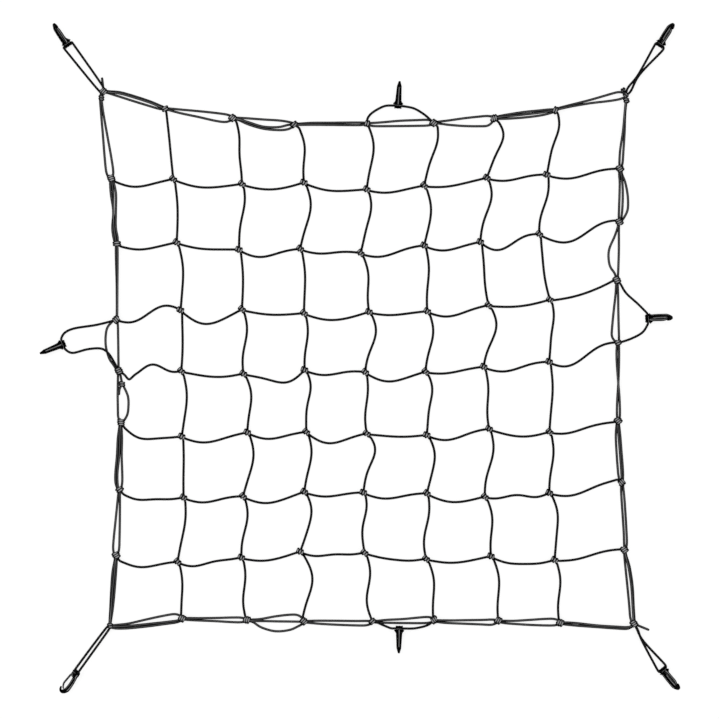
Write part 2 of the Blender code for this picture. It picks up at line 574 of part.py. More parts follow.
def build():
    remove_all_objects()
    guides = new_collection("guides")
    parts = new_collection("cargo_net")
    outline = section("cord_section", SECTION_RADIUS, guides)
    wide = section("cord_section_with_clearance", SECTION_RADIUS + CLEARANCE, guides)
    cord_look, border_look, nylon_look = material(BLACK_CORD), material(BLACK_BORDER), material(BLACK_NYLON)

    def keep(name, shape, look, frame=Matrix.Identity(4)):
        made = bpy.data.objects.new(name, shape)
        made.location = frame.to_translation()
        made.rotation_euler = frame.to_euler()
        if not shape.materials:
            shape.materials.append(look)
        parts.objects.link(made)
        return made

    border = combined(border_pieces(outline, SECTION_RADIUS, 0.0), "UNION", "border", own_overlaps=True)
    border = simplified(border, KEPT_BORDER)
    cutter = combined(border_pieces(wide, SECTION_RADIUS + CLEARANCE, CLEARANCE), "UNION", "cutter",
                      own_overlaps=True)
    keep("border", border, border_look)

    pieces = [strand(KNOTS[course], (0, 1), COURSE_STRAY[course]) for course in range(1, LAST)]
    pieces += [strand([row[upright] for row in KNOTS], (1, 0), UPRIGHT_STRAY[upright])
               for upright in range(1, LAST)]
    pieces = [cord(points, outline) for points in pieces]
    for course in range(1, LAST):
        for upright in range(1, LAST):
            turn = KNOT_TURN + NET_KNOT_SWAY * math.sin(SWAY_BY_COURSE * course + SWAY_BY_UPRIGHT * upright)
            pieces.append(knot_lump(KNOTS[course][upright], turn, 1.0, outline, SECTION_RADIUS, 0.0))
    knotted = simplified(combined(pieces, "UNION", "knotted"), KEPT_NET)
    net = combined([knotted, cutter], "DIFFERENCE", "net")
    keep("net", net, cord_look)

    snap_hook = hook_mesh()

    def lowest(turned):
        return min((turned @ vert.co).z for vert in snap_hook.vertices)

    for name, hook in HOOKS.items():
        frame = hook_frame(hook, lowest)
        keep("hook_" + name, snap_hook, nylon_look, frame)
        loop = cord(loop_points(hook, frame), outline)
        loop = combined([loop, cutter], "DIFFERENCE", "loop_" + name, own_overlaps=True)
        keep("loop_" + name, loop, border_look)

    bpy.data.meshes.remove(cutter)


build()
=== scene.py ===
# %% [markdown]
# # Cargo net of black elastic cord
# The net is knotted from one kind of cord, an elastic core in a braided cover. Seven courses and
# seven uprights cross in 49 knots. They end in the knots of a border, which is two or three cords
# side by side, and eight loops of the same cord carry a moulded snap hook each.
#
# Everything lies slack on a surface. Its look comes from three things: the slow bends of the cord,
# the wound knots and the moulded hooks. The imported model is the frame that they are fitted to, so
# it is loaded first.

import math
from collections import namedtuple

import bpy
import numpy as np
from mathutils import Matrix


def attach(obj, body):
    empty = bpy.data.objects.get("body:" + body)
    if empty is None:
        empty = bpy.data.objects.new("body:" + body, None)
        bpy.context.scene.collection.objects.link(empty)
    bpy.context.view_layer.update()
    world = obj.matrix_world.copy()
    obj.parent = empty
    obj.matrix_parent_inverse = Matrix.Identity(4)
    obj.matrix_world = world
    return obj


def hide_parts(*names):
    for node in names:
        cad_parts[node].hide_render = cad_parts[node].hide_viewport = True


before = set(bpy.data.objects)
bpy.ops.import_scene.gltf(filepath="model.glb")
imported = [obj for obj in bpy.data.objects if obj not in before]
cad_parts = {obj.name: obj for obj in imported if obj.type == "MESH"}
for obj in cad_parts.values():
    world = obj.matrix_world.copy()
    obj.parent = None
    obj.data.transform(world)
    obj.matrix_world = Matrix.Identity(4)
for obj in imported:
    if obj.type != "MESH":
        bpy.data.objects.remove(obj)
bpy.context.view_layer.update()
print("nodes in the frame:", len(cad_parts))

# %% [markdown]
# ## The layout sheet
# A slack net has no straight lines, so its layout is drawn on a square sheet, x to the right and y
# down it. One size, the made side of the net, turns sheet units into metres. The same tables shape
# the solids, and a cord drawn from them lies where its solid lies.

# %% Driving sizes
NET_SIDE = 0.914  # made size of the net, knot to knot
NET_SIDE_UNITS = 525.0  # the same side on the sheet
UNIT = NET_SIDE / NET_SIDE_UNITS
SHEET_MIDDLE = np.array((359.8, 358.3))
CORD_RADIUS = 0.0021
FLOOR_GAP = 0.00005  # air under the lowest cord
LAID_HEIGHT = CORD_RADIUS + FLOOR_GAP
UP = np.array((0.0, 0.0, 1.0))


def on_sheet(spots, height=0.0):
    """World points of spots on the sheet: its x is the world's x, and its y runs against y."""
    off = (np.asarray(spots, float) - SHEET_MIDDLE) * UNIT
    return np.stack([off[..., 0], -off[..., 1], np.broadcast_to(height, off.shape[:-1])], -1)


print("millimetres to a sheet unit:", round(UNIT * 1000, 3))

# %% [markdown]
# ## Where the knots lie
# Nobody lays a net out square. Each knot has its own place, read off the sheet, and the rows and
# columns wander by up to a quarter of a mesh.

# %% Knots where upright u0 to u8 crosses each course, course 0 at the far side
KNOTS = np.array((
    # u0             u1              u2              u3              u4
    # u5             u6              u7              u8
    ((103.8, 91.8), (165.3, 109.0), (232.7, 118.2), (294.3, 124.8), (367.0, 123.7),
     (433.6, 123.2), (493.8, 118.6), (555.0, 110.5), (625.4, 95.5)),
    ((111.4, 178.3), (173.7, 179.4), (242.3, 184.4), (304.3, 182.9), (367.0, 189.8),
     (424.4, 186.0), (486.9, 178.3), (546.9, 175.0), (619.6, 168.7)),
    ((117.1, 243.8), (177.1, 242.8), (239.5, 250.0), (300.5, 249.2), (360.9, 253.5),
     (424.4, 245.8), (480.5, 242.3), (539.4, 234.5), (619.0, 222.0)),
    ((116.6, 319.6), (181.1, 310.4), (242.3, 309.6), (304.3, 313.5), (369.3, 312.2),
     (427.5, 311.6), (488.7, 305.5), (550.1, 300.0), (616.5, 280.1)),
    ((119.1, 370.9), (181.7, 371.2), (243.8, 373.9), (305.0, 370.1), (365.5, 372.4),
     (425.7, 371.9), (483.8, 367.0), (549.2, 362.0), (617.8, 342.6)),
    ((121.2, 422.2), (182.2, 436.7), (247.7, 432.6), (306.6, 432.1), (367.0, 433.6),
     (427.0, 435.2), (489.2, 429.0), (549.6, 432.1), (617.8, 420.6)),
    ((119.9, 489.2), (184.0, 497.6), (243.4, 496.5), (304.6, 491.9), (363.7, 492.6),
     (427.0, 493.5), (485.0, 496.8), (549.4, 493.0), (621.4, 482.3)),
    ((116.3, 555.0), (178.0, 561.9), (241.8, 557.6), (300.5, 551.6), (364.8, 552.7),
     (426.3, 558.8), (491.1, 556.2), (554.7, 560.0), (624.0, 549.4)),
    ((110.5, 625.4), (182.2, 618.2), (246.9, 619.6), (304.0, 621.1), (372.4, 621.1),
     (434.1, 619.6), (498.0, 620.2), (560.0, 622.5), (633.6, 623.3)),
))
LAST = len(KNOTS) - 1
print("knots:", (LAST + 1) ** 2, "of them inside the border:", (LAST - 1) ** 2)

# %% [markdown]
# ## How each span of cord strays
# Elastic cord cut from a spool keeps some of its curl. Between two knots it leaves the straight
# line by a few sheet units, and most spans bow the same way because they came off one spool. Two
# or three values a span are enough, at a quarter, three quarters and sometimes the middle: the
# bow between them is the sum of three sine waves, as slow as the real cord's.

# %% Strays of the courses, down the sheet, and of the uprights, to the right of it
COURSE_STRAY = {
    # course: u0-u1, u1-u2, u2-u3, u3-u4, and on the next line u4-u5, u5-u6, u6-u7, u7-u8
    1: ((6.9, 3.5), (4.9, 3.2), (4.4, 3.7), (4.1, 2.6),
        (3.7, 1.7), (2.9, 1.5), (3.3, -0.1), (5.2, 0.1)),
    2: ((5.1, 2.8), (2.7, 1.4), (6.6, 1.9), (2.9, -0.5),
        (5.2, 0.7), (5.2, 2.2), (9.6, 0.0), (10.8, -0.3, 9.4)),
    3: ((4.6, -6.9), (11.4, 7.6), (2.6, 2.0), (5.6, 4.3),
        (2.7, 1.2), (6.2, 2.2), (2.6, 2.4), (3.0, 2.5, 3.8)),
    4: ((3.6, -1.3, -6.3), (2.8, 3.2), (4.3, 10.6, 9.3), (4.0, -0.2),
        (7.8, 4.5), (2.8, 0.8), (5.6, 0.5), (9.1, -1.5)),
    5: ((10.6, 4.8, 9.4), (6.3, 2.6), (5.7, 2.2), (9.2, 4.3),
        (1.5, 1.7), (6.2, 1.5), (4.0, 4.3), (4.0, 0.3, 2.2)),
    6: ((7.4, 3.8, 5.9), (4.7, 0.8), (6.9, 4.3), (3.9, 1.2),
        (5.1, 1.4), (5.6, 4.2), (1.8, 3.2, 0.1), (5.5, -0.7)),
    7: ((7.9, 3.7), (5.2, 1.2, 2.7), (4.3, 3.1), (4.0, 2.1, 2.3),
        (3.1, 3.4, 4.0), (4.0, 2.8), (5.5, 4.4, 5.8), (2.5, -1.1)),
}
UPRIGHT_STRAY = {
    # upright: c0-c1, c1-c2, c2-c3, c3-c4, and on the next line c4-c5, c5-c6, c6-c7, c7-c8
    1: ((0.5, 0.0), (1.9, 1.3), (3.7, 2.0), (0.9, 0.9),
        (4.2, 2.2), (0.8, 0.0), (3.0, 1.1), (2.5, 0.6)),
    2: ((3.6, 1.0, 1.9), (3.0, -0.6, 1.1), (1.8, 1.2), (4.0, -0.6),
        (5.3, 2.0), (6.3, 3.2), (4.3, 0.1), (2.0, -2.2)),
    3: ((5.7, 1.7), (6.8, 2.8), (2.6, 1.2), (3.0, 0.1),
        (5.0, 0.1, 2.4), (4.9, 1.8), (7.3, 4.0, 7.4), (9.0, 3.4, 9.4)),
    4: ((5.9, 2.3), (5.5, 1.9, 4.3), (4.0, 0.6), (7.1, 1.5),
        (1.8, -1.4), (8.6, 1.3, 5.8), (2.3, -2.0, -0.8), (3.1, -3.5)),
    5: ((5.8, 1.1, 3.9), (5.4, 3.4), (3.1, 0.3), (5.6, 1.6),
        (5.9, 1.4, 3.8), (6.8, 3.6, 6.9), (2.2, -2.5), (4.3, 1.0)),
    6: ((10.8, 3.7, 8.6), (6.1, 0.4, 4.0), (0.5, -1.0), (8.3, 2.3),
        (2.5, -0.5), (5.1, 0.0), (4.5, 1.1), (4.8, 1.3)),
    7: ((5.7, 0.9, 3.1), (3.1, -1.1), (-0.4, -1.6), (3.6, 1.0, 2.2),
        (2.8, 1.2), (3.5, 0.6), (6.0, 2.6, 5.3), (3.6, -0.5)),
}
# How far from the middle of the border knots each of them leaves the first and enters the last
COURSE_ENDS = {1: (2.2, 0.0), 2: (2.1, -2.0), 3: (0.9, -1.5), 4: (0.9, -0.5),
               5: (2.4, 1.3), 6: (3.4, -5.0), 7: (5.0, -0.5)}
UPRIGHT_ENDS = {1: (1.0, -1.2), 2: (3.0, -0.8), 3: (4.0, -2.5), 4: (0.4, 0.0),
                5: (4.0, -1.2), 6: (2.4, 0.0), 7: (2.1, -1.2)}


def stray(quarters, share):
    """Distance off the straight line at shares of the way, in sheet units.

    A sin(pi t) + B sin(2 pi t) + C sin(3 pi t) through the values at t = 1/4, 3/4 and 1/2.
    With no middle value given, C is nought.
    """
    first, last = quarters[0], quarters[1]
    whole = (first + last) / math.sqrt(2)
    middle = quarters[2] if len(quarters) > 2 else whole
    turn = np.pi * np.asarray(share, float)
    return ((whole + middle) / 2 * np.sin(turn) + (first - last) / 2 * np.sin(2 * turn)
            + (whole - middle) / 2 * np.sin(3 * turn))


most = max(abs(value) for row in COURSE_STRAY.values() for quarters in row for value in quarters)
print("most that a course strays, in sheet units:", most)

# %% [markdown]
# ## From a path to a cord
# Every cord is the same surface: a round section carried along its path. The section needs a
# steady direction to start its angle from, or the braid would twist. A fixed reference made
# square to the path gives that, as long as the path never runs along the reference.
#
# The ends are half balls, so that each cord is a closed body. Each corner of a face also stores
# how far it is along the cord and round it, which is what the braid is drawn with later.

# %% Paths
def distances(path):
    """How far along a path each of its points is."""
    return np.concatenate([[0.0], np.cumsum(np.linalg.norm(np.diff(path, axis=0), axis=1))])


def evenly(path, spacing):
    """The same path with its points a spacing apart, measured along it."""
    far = distances(path)
    wanted = np.linspace(0.0, far[-1], max(4, round(far[-1] / spacing) + 1))
    return np.stack([np.interp(wanted, far, path[:, axis]) for axis in range(3)], -1)


def softened(path, rounds):
    """The path with its corners eased: each point moves halfway to the middle of its neighbours."""
    path = path.copy()
    for _ in range(rounds):
        path[1:-1] = path[1:-1] / 2 + (path[:-2] + path[2:]) / 4
    return path


def curved(points, steps=12):
    """A smooth curve through points. Between B and C, with A before and D after them, it is
    P(t) = (2B + (C - A)t + (2A - 5B + 4C - D)t^2 + (3B - A - 3C + D)t^3) / 2."""
    points = np.asarray(points, float)
    held = np.concatenate([2 * points[:1] - points[1:2], points, 2 * points[-1:] - points[-2:-1]])
    a, b, c, d = (held[k:len(held) - 3 + k, None] for k in range(4))
    t = np.linspace(0, 1, steps, endpoint=False)[None, :, None]
    curve = (2 * b + (c - a) * t + (2 * a - 5 * b + 4 * c - d) * t**2
             + (3 * b - a - 3 * c + d) * t**3) / 2
    return np.concatenate([curve.reshape(-1, points.shape[1]), points[-1:]])


print("points on a metre of course:", len(evenly(np.array(((0.0, 0, 0), (1.0, 0, 0))), 0.0025)))

# %% Closed surfaces
def shell(rows, poles=None, along=None):
    """Closed surface over a grid of points (row, column, xyz) whose columns run round it.

    Between neighbouring rows each face is (i, j), (i, j+1), (i+1, j+1), (i+1, j). With two poles
    the first and the last row close in a point each; with none, the last row joins the first.
    """
    count, sides = rows.shape[:2]
    along = np.arange(count, dtype=float) if along is None else along
    row = np.arange(count if poles is None else count - 1)[:, None]
    after = (row + 1) % count
    column = np.arange(sides)[None, :]
    beside = (column + 1) % sides
    quads = np.stack([row * sides + column, row * sides + beside,
                      after * sides + beside, after * sides + column], -1).reshape(-1, 4)
    here, there = (np.broadcast_to(along[each], (len(row), sides)) for each in (row, after))
    left = np.broadcast_to(column / sides, here.shape)
    right = left + 1 / sides
    quad_uv = np.stack([here, left, here, right, there, right, there, left], -1).reshape(-1, 2)
    points = rows.reshape(-1, 3)
    if poles is None:
        return dict(points=points, quads=quads, fans=np.zeros((0, 3), int), uv=quad_uv)
    points = np.concatenate([points, poles])
    column, beside = column[0], beside[0]
    first, last = len(points) - 2, len(points) - 1
    end = (count - 1) * sides
    fans = np.concatenate([np.stack([np.full(sides, first), beside, column], -1),
                           np.stack([end + column, end + beside, np.full(sides, last)], -1)])
    v = column / sides
    fan_uv = np.concatenate([np.stack([at, v, at, v + 1 / sides, at, v], -1)
                             for at in (np.full(sides, along[0]), np.full(sides, along[-1]))])
    return dict(points=points, quads=quads, fans=fans,
                uv=np.concatenate([quad_uv, fan_uv.reshape(-1, 2)]))


print("faces of a ring of eight rows of six points:", len(shell(np.zeros((8, 6, 3)))["quads"]))

# %% Sections along a path
CORD_SIDES = 12
END_ANGLES = np.radians((30.0, 60.0))


def swept(path, reference, section, rounding):
    """A section carried along a path, with rounded ends.

    P(s, a) = C(s) + f(s, a) N(s) + g(s, a) B(s). C is the path, T its direction, N the reference
    made square to T and B = T x N; (f, g) is the section, an array (row, angle, 2). Past either
    end the section shrinks by cos b while it moves on by rounding x sin b, up to b = 90 degrees.
    """
    ahead = np.gradient(path, axis=0)
    ahead /= np.linalg.norm(ahead, axis=1, keepdims=True)
    spoke = reference - np.sum(reference * ahead, 1, keepdims=True) * ahead
    spoke /= np.linalg.norm(spoke, axis=1, keepdims=True)
    side = np.cross(ahead, spoke)
    order = np.concatenate([np.zeros(len(END_ANGLES), int), np.arange(len(path)),
                            np.full(len(END_ANGLES), len(path) - 1)])
    angle = np.concatenate([-END_ANGLES[::-1], np.zeros(len(path)), END_ANGLES])
    shrink, push = np.cos(angle), rounding * np.sin(angle)
    section = np.broadcast_to(section, (len(path),) + section.shape[-2:])[order]
    section = section * shrink[:, None, None]
    middle = path[order] + ahead[order] * push[:, None]
    rows = (middle[:, None] + section[..., :1] * spoke[order][:, None]
            + section[..., 1:] * side[order][:, None])
    poles = np.stack([path[0] - ahead[0] * rounding, path[-1] + ahead[-1] * rounding])
    return shell(rows, poles, distances(path)[order] + push)


def cord(path, reference=UP, radius=CORD_RADIUS, sides=CORD_SIDES):
    """A round cord: the section is radius x (cos a, sin a)."""
    angle = 2 * np.pi * np.arange(sides) / sides
    return swept(path, reference, radius * np.stack([np.cos(angle), np.sin(angle)], -1), radius)


stub = cord(np.array(((0.0, 0, 0), (0.01, 0, 0))))
print("10 mm of cord with its ends, mm:", np.round(np.ptp(stub["points"], 0) * 1000, 1))

# %% From surfaces to a piece
def in_scene(name, data):
    """A new object in the scene."""
    made = bpy.data.objects.new(name, data)
    bpy.context.scene.collection.objects.link(made)
    return made


def placed(name, shells, finish):
    """One smooth mesh object from several shells, with its points in the model's own frame."""
    starts = np.cumsum([0] + [len(each["points"]) for each in shells[:-1]])
    points = np.concatenate([each["points"] for each in shells])
    quads, fans = (np.concatenate([each[kind] + start for each, start in zip(shells, starts)])
                   for kind in ("quads", "fans"))
    uv = np.concatenate([each["uv"][:4 * len(each["quads"])] for each in shells]
                        + [each["uv"][4 * len(each["quads"]):] for each in shells])
    mesh = bpy.data.meshes.new(name)
    mesh.from_pydata(points, [], quads.tolist() + fans.tolist())
    mesh.uv_layers.new(name="cord_uv").data.foreach_set("uv", uv.ravel())
    mesh.shade_smooth()
    mesh.materials.append(finish)
    print(name, "triangles:", 2 * len(quads) + len(fans))
    return in_scene(name, mesh)


# %% [markdown]
# ## Black braided cord
# The cover is braided from polyester yarns: as many wind one way as the other, over one and under
# one. Unrolled, they cross at an angle, so the pattern is two families of stripes on a flat strip
# whose x runs along the cord and whose y runs round it. Where both stripe counts add up to an even
# number the first family is on top, and elsewhere the second. A node group gives the height of
# the yarns for the bump, and a shade for the colour, as the yarns' crowns catch dust and light.

# %% Helpers for node trees
def feed(tree, sockets, values):
    """Sets sockets by name or place, or links them where the value is a socket itself."""
    for place, value in values.items():
        if isinstance(value, bpy.types.NodeSocket):
            tree.links.new(value, sockets[place])
        else:
            sockets[place].default_value = value


def new_node(tree, kind, inputs, **settings):
    """A node with these settings and inputs."""
    node = tree.nodes.new("ShaderNode" + kind)
    for setting, value in settings.items():
        setattr(node, setting, value)
    feed(tree, node.inputs, inputs)
    return node


def reckon(tree, operation, *values):
    """Output of a Math node whose inputs are sockets or numbers."""
    return new_node(tree, "Math", dict(enumerate(values)), operation=operation).outputs[0]


def new_group(name, inputs, outputs):
    """A node group, its incoming and its outgoing sockets.

    The inputs have a default each, where None stands for a vector. The outputs are numbers.
    """
    tree = bpy.data.node_groups.new(name, "ShaderNodeTree")
    for label, default in inputs.items():
        kind = "NodeSocketVector" if default is None else "NodeSocketFloat"
        socket = tree.interface.new_socket(name=label, in_out="INPUT", socket_type=kind)
        if default is not None:
            socket.default_value = default
    for label in outputs:
        tree.interface.new_socket(name=label, in_out="OUTPUT", socket_type="NodeSocketFloat")
    return tree, tree.nodes.new("NodeGroupInput").outputs, tree.nodes.new("NodeGroupOutput").inputs


print("node groups so far:", len(bpy.data.node_groups))

# %% Braid
YARN_FALL = 0.35  # how gently a yarn sinks under the one that crosses it
CROWN_POWER = 1.6  # how narrow its pale crown is
braid, given, result = new_group(
    "braid", {"Strip": None, "Yarns": 8.0, "Crossings per Metre": 420.0}, ("Height", "Crown"))
strip = new_node(braid, "SeparateXYZ", {0: given["Strip"]}).outputs
round_it = reckon(braid, "MULTIPLY", strip["Y"], given["Yarns"])
along_it = reckon(braid, "MULTIPLY", strip["X"], given["Crossings per Metre"])
ways = [reckon(braid, operation, round_it, along_it) for operation in ("ADD", "SUBTRACT")]
crowns = [reckon(braid, "SINE", reckon(braid, "MULTIPLY", reckon(braid, "FRACT", way), math.pi))
          for way in ways]
cells = reckon(braid, "ADD", *[reckon(braid, "FLOOR", way) for way in ways])
first_on_top = reckon(braid, "PINGPONG", cells, 1.0)
on_top = (first_on_top, reckon(braid, "SUBTRACT", 1.0, first_on_top))
yarns = [reckon(braid, "MULTIPLY", crown, reckon(braid, "POWER", other, YARN_FALL))
         for crown, other in zip(crowns, crowns[::-1])]
height = reckon(braid, "ADD", *[reckon(braid, "MULTIPLY", *pair) for pair in zip(yarns, on_top)])
feed(braid, result, {"Height": height, "Crown": reckon(braid, "POWER", height, CROWN_POWER)})
print("nodes in the braid group:", len(braid.nodes))

# %% [markdown]
# Cord is handled, stretched and dragged, so it isn't equally black all along. A second group
# gives this slow unevenness, from noise fixed to the piece.

# %% Wear
wear, given, result = new_group("wear", {"Place": None, "Patch Size": 0.05}, ("Patches",))


def noise(tree, place, size, detail):
    """Noise from 0 to 1 whose lumps are about as large as size, in metres."""
    scale = reckon(tree, "DIVIDE", 1.0, size)
    node = new_node(tree, "TexNoise", {"Vector": place, "Scale": scale, "Detail": detail})
    return node.outputs["Fac"]


feed(wear, result, {"Patches": noise(wear, given["Place"], given["Patch Size"], 3.0)})
print("nodes in the wear group:", len(wear.nodes))

# %% Helpers for finishes
MIX_FROM, MIX_TO, MIXED = 6, 7, 2  # places of the colours among the sockets of a Mix node


def finish(name):
    """A material, its node tree and the inputs of its Principled shader."""
    made = bpy.data.materials.new(name)
    made.use_nodes = True
    return made, made.node_tree, made.node_tree.nodes["Principled BSDF"].inputs


def ramp(tree, value, stops):
    """Colours between two stops (place, colour) for a value from 0 to 1."""
    node = new_node(tree, "ValToRGB", {"Fac": value})
    for stop, (place, colour) in zip(node.color_ramp.elements, stops):
        stop.position, stop.color = place, (*colour, 1.0)
    return node.outputs["Color"]


def between(tree, value, low, high):
    """How far a value has come from low to high, from 0 to 1."""
    node = new_node(tree, "MapRange", {"Value": value, "From Min": low, "From Max": high})
    return node.outputs["Result"]


def blended(tree, share, first, second):
    """The first colour giving way to the second as share goes from 0 to 1."""
    return new_node(tree, "Mix", {"Factor": share, MIX_FROM: first, MIX_TO: second},
                    data_type="RGBA").outputs[MIXED]


def on_piece(tree):
    """Where a point is on the strip that its cord or bar unrolls to, and where in the model."""
    return (new_node(tree, "UVMap", {}, uv_map="cord_uv").outputs["UV"],
            new_node(tree, "TexCoord", {}).outputs["Object"])


def bumped(tree, height, strength, distance):
    """A normal roughened by a height of up to this distance, in metres."""
    node = new_node(tree, "Bump", {"Strength": strength, "Distance": distance, "Height": height})
    return node.outputs["Normal"]


print("groups that the finishes share:", [group.name for group in bpy.data.node_groups])

# %% [markdown]
# A black cord this thin looks grey only along its crown, where it catches the light, and turns dark
# to either side. So the colour carries painted shade: it darkens as a face leans away from the eye.
# The tops of the knots get a painted highlight that grows with height. The cords of the border get
# a narrower, paler painted highlight along their crowns, and their knots a pale one. The loops get
# no painted highlight on top.

# %% Cord finish
PATCHES, CROWNS = 0.5, 0.75  # how much the patches and the yarns' crowns lighten the cord
SHADE_LOW, SHADE_HIGH = 0.1, 0.95  # shades at which the cord is darkest and palest
ROUGH_MORE, ROUGH_LEAST = 0.25, 0.42  # roughness that the patches add, and without them
TOP_HIGHLIGHT_FROM, TOP_HIGHLIGHT_TO = 0.0076, 0.0112  # heights between which the painted top highlight grows
# How far a face leans away where the lit crown ends and where the painted shade of the side begins
CROWN_TO, SHADED_SIDE_FROM = 0.02, 0.24
# The border's painted side shade starts sooner, so its lit crown is narrower
BORDER_SHADED_SIDE_FROM = 0.14
YARN_HEIGHT = 0.00018
# The darkest colour, which the painted side shade goes to; the painted highlight on the tops of the
# knots; the loops' cord
DEEP_SHADE = (0.0006, 0.0006, 0.0007)
TOP_HIGHLIGHT = (0.50, 0.50, 0.51)
LOOPED = (0.018, 0.018, 0.019)


def cord_finish(name, crown, top_highlight=TOP_HIGHLIGHT, shaded_side_from=SHADED_SIDE_FROM):
    """Braided black cord, by the colours of its yarns' crowns, with a painted highlight on the tops
    of the knots and painted shade on its sides.
    """
    made, tree, shader = finish(name)
    strip, place = on_piece(tree)
    yarns = new_node(tree, "Group", {"Strip": strip}, node_tree=braid).outputs
    patches = new_node(tree, "Group", {"Place": place}, node_tree=wear).outputs["Patches"]
    shade = reckon(tree, "MULTIPLY_ADD", patches, PATCHES,
                   reckon(tree, "MULTIPLY", yarns["Crown"], CROWNS))
    plain, top_highlighted = (ramp(tree, shade, ((SHADE_LOW, DEEP_SHADE), (SHADE_HIGH, pale)))
                        for pale in (crown, top_highlight))
    # Painted highlight: the tops of the knots get paler with height
    high = new_node(tree, "SeparateXYZ", {0: place}).outputs["Z"]
    colour = blended(tree, between(tree, high, TOP_HIGHLIGHT_FROM, TOP_HIGHLIGHT_TO), plain, top_highlighted)
    # Painted shade: the colour darkens as a face leans away from the eye
    painted_side_shade = new_node(tree, "LayerWeight", {"Blend": 0.5}).outputs["Facing"]
    colour = blended(tree, between(tree, painted_side_shade, CROWN_TO, shaded_side_from), colour, (*DEEP_SHADE, 1.0))
    feed(tree, shader, {
        "Specular IOR Level": 0.01, "Base Color": colour,
        "Roughness": reckon(tree, "MULTIPLY_ADD", patches, ROUGH_MORE, ROUGH_LEAST),
        "Normal": bumped(tree, yarns["Height"], 0.55, YARN_HEIGHT)})
    return made


# The crown colours carry the painted highlight: faint on the net, paler on the border's cords and
# knots
net_cord = cord_finish("braided_cord", (0.016, 0.016, 0.017))
border_cord = cord_finish("braided_border_cord", (0.120, 0.120, 0.122), shaded_side_from=BORDER_SHADED_SIDE_FROM)
wound_cord = cord_finish("wound_border_cord", (0.080, 0.080, 0.082))
loop_cord = cord_finish("braided_loop_cord", LOOPED, LOOPED)
print("finishes:", net_cord.name, border_cord.name, wound_cord.name, loop_cord.name)

# %% [markdown]
# ## The courses
# A course is one cord from one border knot to the opposite one. It lies on the surface between
# knots. At each knot it climbs into the middle of the windings, as high as the wound cord is thick.

# %% Net sizes
WINDING_RADIUS = 0.0043  # from the middle of a knot to the middle of the cord wound there
KNOT_MIDDLE = WINDING_RADIUS + CORD_RADIUS + FLOOR_GAP
KNOT_REACH = 3.5  # sheet units either side of a knot's middle that the knot fills
CLIMB = 5.0  # sheet units over which a cord climbs into its knot
LEAVES = 9.0  # sheet units over which it eases back from beside the knot
SPAN_SAMPLES = 36
COURSE_SPACING = 0.0025
UPRIGHT_SPACING = 0.0016


def span(start, end, across, quarters, rise, beside=((0, 0), (0, 0))):
    """Points of one span between two knots of the sheet.

    With d the distance from a knot, the height above the laid cord is rise x exp(-(d/CLIMB)^2),
    and the path starts beside the knot by an offset that fades as exp(-d/LEAVES).
    """
    length = math.hypot(*(end - start))
    share = np.linspace(KNOT_REACH / length, 1 - KNOT_REACH / length, SPAN_SAMPLES)
    from_start, from_end = share * length, (1 - share) * length
    spots = start + (end - start) * share[:, None] + np.outer(stray(quarters, share), across)
    spots += (np.outer(np.exp(-from_start / LEAVES), beside[0])
              + np.outer(np.exp(-from_end / LEAVES), beside[1]))
    height = rise * (np.exp(-(from_start / CLIMB) ** 2) + np.exp(-(from_end / CLIMB) ** 2))
    return on_sheet(spots, LAID_HEIGHT + height)


LEAVES_KNOT_RIGHT = (0.0, 0.9)  # a course leaves its knot a little low on the right
ENTERS_KNOT_LEFT = (0.0, -0.5)  # and enters the next one a little high on its left
# Course 4 is caught by a second lump of its first knot: it comes round these spots before it
# joins its span, whose first points it leaves out
CAUGHT = {4: (((124.8, 374.8), (127.6, 378.6), (129.3, 380.2), (130.6, 378.9), (133.2, 376.2)), 8)}


def net_path(knots, strays, ends, across, beside, rise, in_knot):
    """The path of a whole cord of the net, from one border knot to the opposite one.

    It leaves and enters the knots between by the offsets beside, and the first and the last one
    by the distances in ends. in_knot(place) gives its points inside a knot.
    """
    across = np.array(across)
    points = [on_sheet(knots[:1], KNOT_MIDDLE)]
    for place, quarters in enumerate(strays):
        leaves = beside[0] if place else ends[0] * across
        enters = beside[1] if place + 1 < LAST else ends[1] * across
        points.append(span(knots[place], knots[place + 1], across, quarters, rise,
                           (leaves, enters)))
        points.append(in_knot(place + 1) if place + 1 < LAST
                      else on_sheet(knots[LAST:], KNOT_MIDDLE))
    return np.concatenate(points)


def course(number):
    """The path of a whole course through the middles of its knots."""
    knots = KNOTS[number]
    path = net_path(knots, COURSE_STRAY[number], COURSE_ENDS[number], (0, 1),
                    (LEAVES_KNOT_RIGHT, ENTERS_KNOT_LEFT), KNOT_MIDDLE - LAID_HEIGHT,
                    lambda place: on_sheet(knots[place:place + 1], KNOT_MIDDLE))
    if number in CAUGHT:
        spots, left_out = CAUGHT[number]
        path = np.concatenate([path[:1], on_sheet(spots, LAID_HEIGHT), path[1 + left_out:]])
    return softened(evenly(path, COURSE_SPACING), 2)


courses = placed("net_courses", [cord(course(number)) for number in range(1, LAST)], net_cord)

# %% [markdown]
# ## The uprights and their knots
# The uprights hold the net together. Each winds round every course that it meets, with two bands
# across the top and a smaller loop at the far left, and goes on to the next. One winding is a helix
# whose axis lies across both cords, from the far left to the near right, as the pull of both draws
# it that way. No two knots were pulled tight alike, so their axes sway.

# %% Uprights
KNOT_TURN = math.radians(-38)  # of a knot's axis off the sheet's x
KNOT_SWAY = math.radians(15)
SWAY_BY_COURSE = 2.3
SWAY_BY_UPRIGHT = 1.7
KNOT_TAPER = 0.18  # how far the ends of a knot are drawn in
BAND_WIDTH = 0.0040  # along the axis, from one band to the next
# Where the cord is along the knot's axis: angle in degrees, then place in band widths. It comes
# in over the middle, goes round the far end and then the near one, and leaves at the near side.
BANDS = ((0, -0.3), (180, -0.1), (360, -1.5), (540, -1.3), (720, 0.7), (810, 0.9), (900, 0.6))
FIRST_ANGLE = 50  # degrees up from the axis's far side, where the cord comes in
ANGLE_STEP = 15


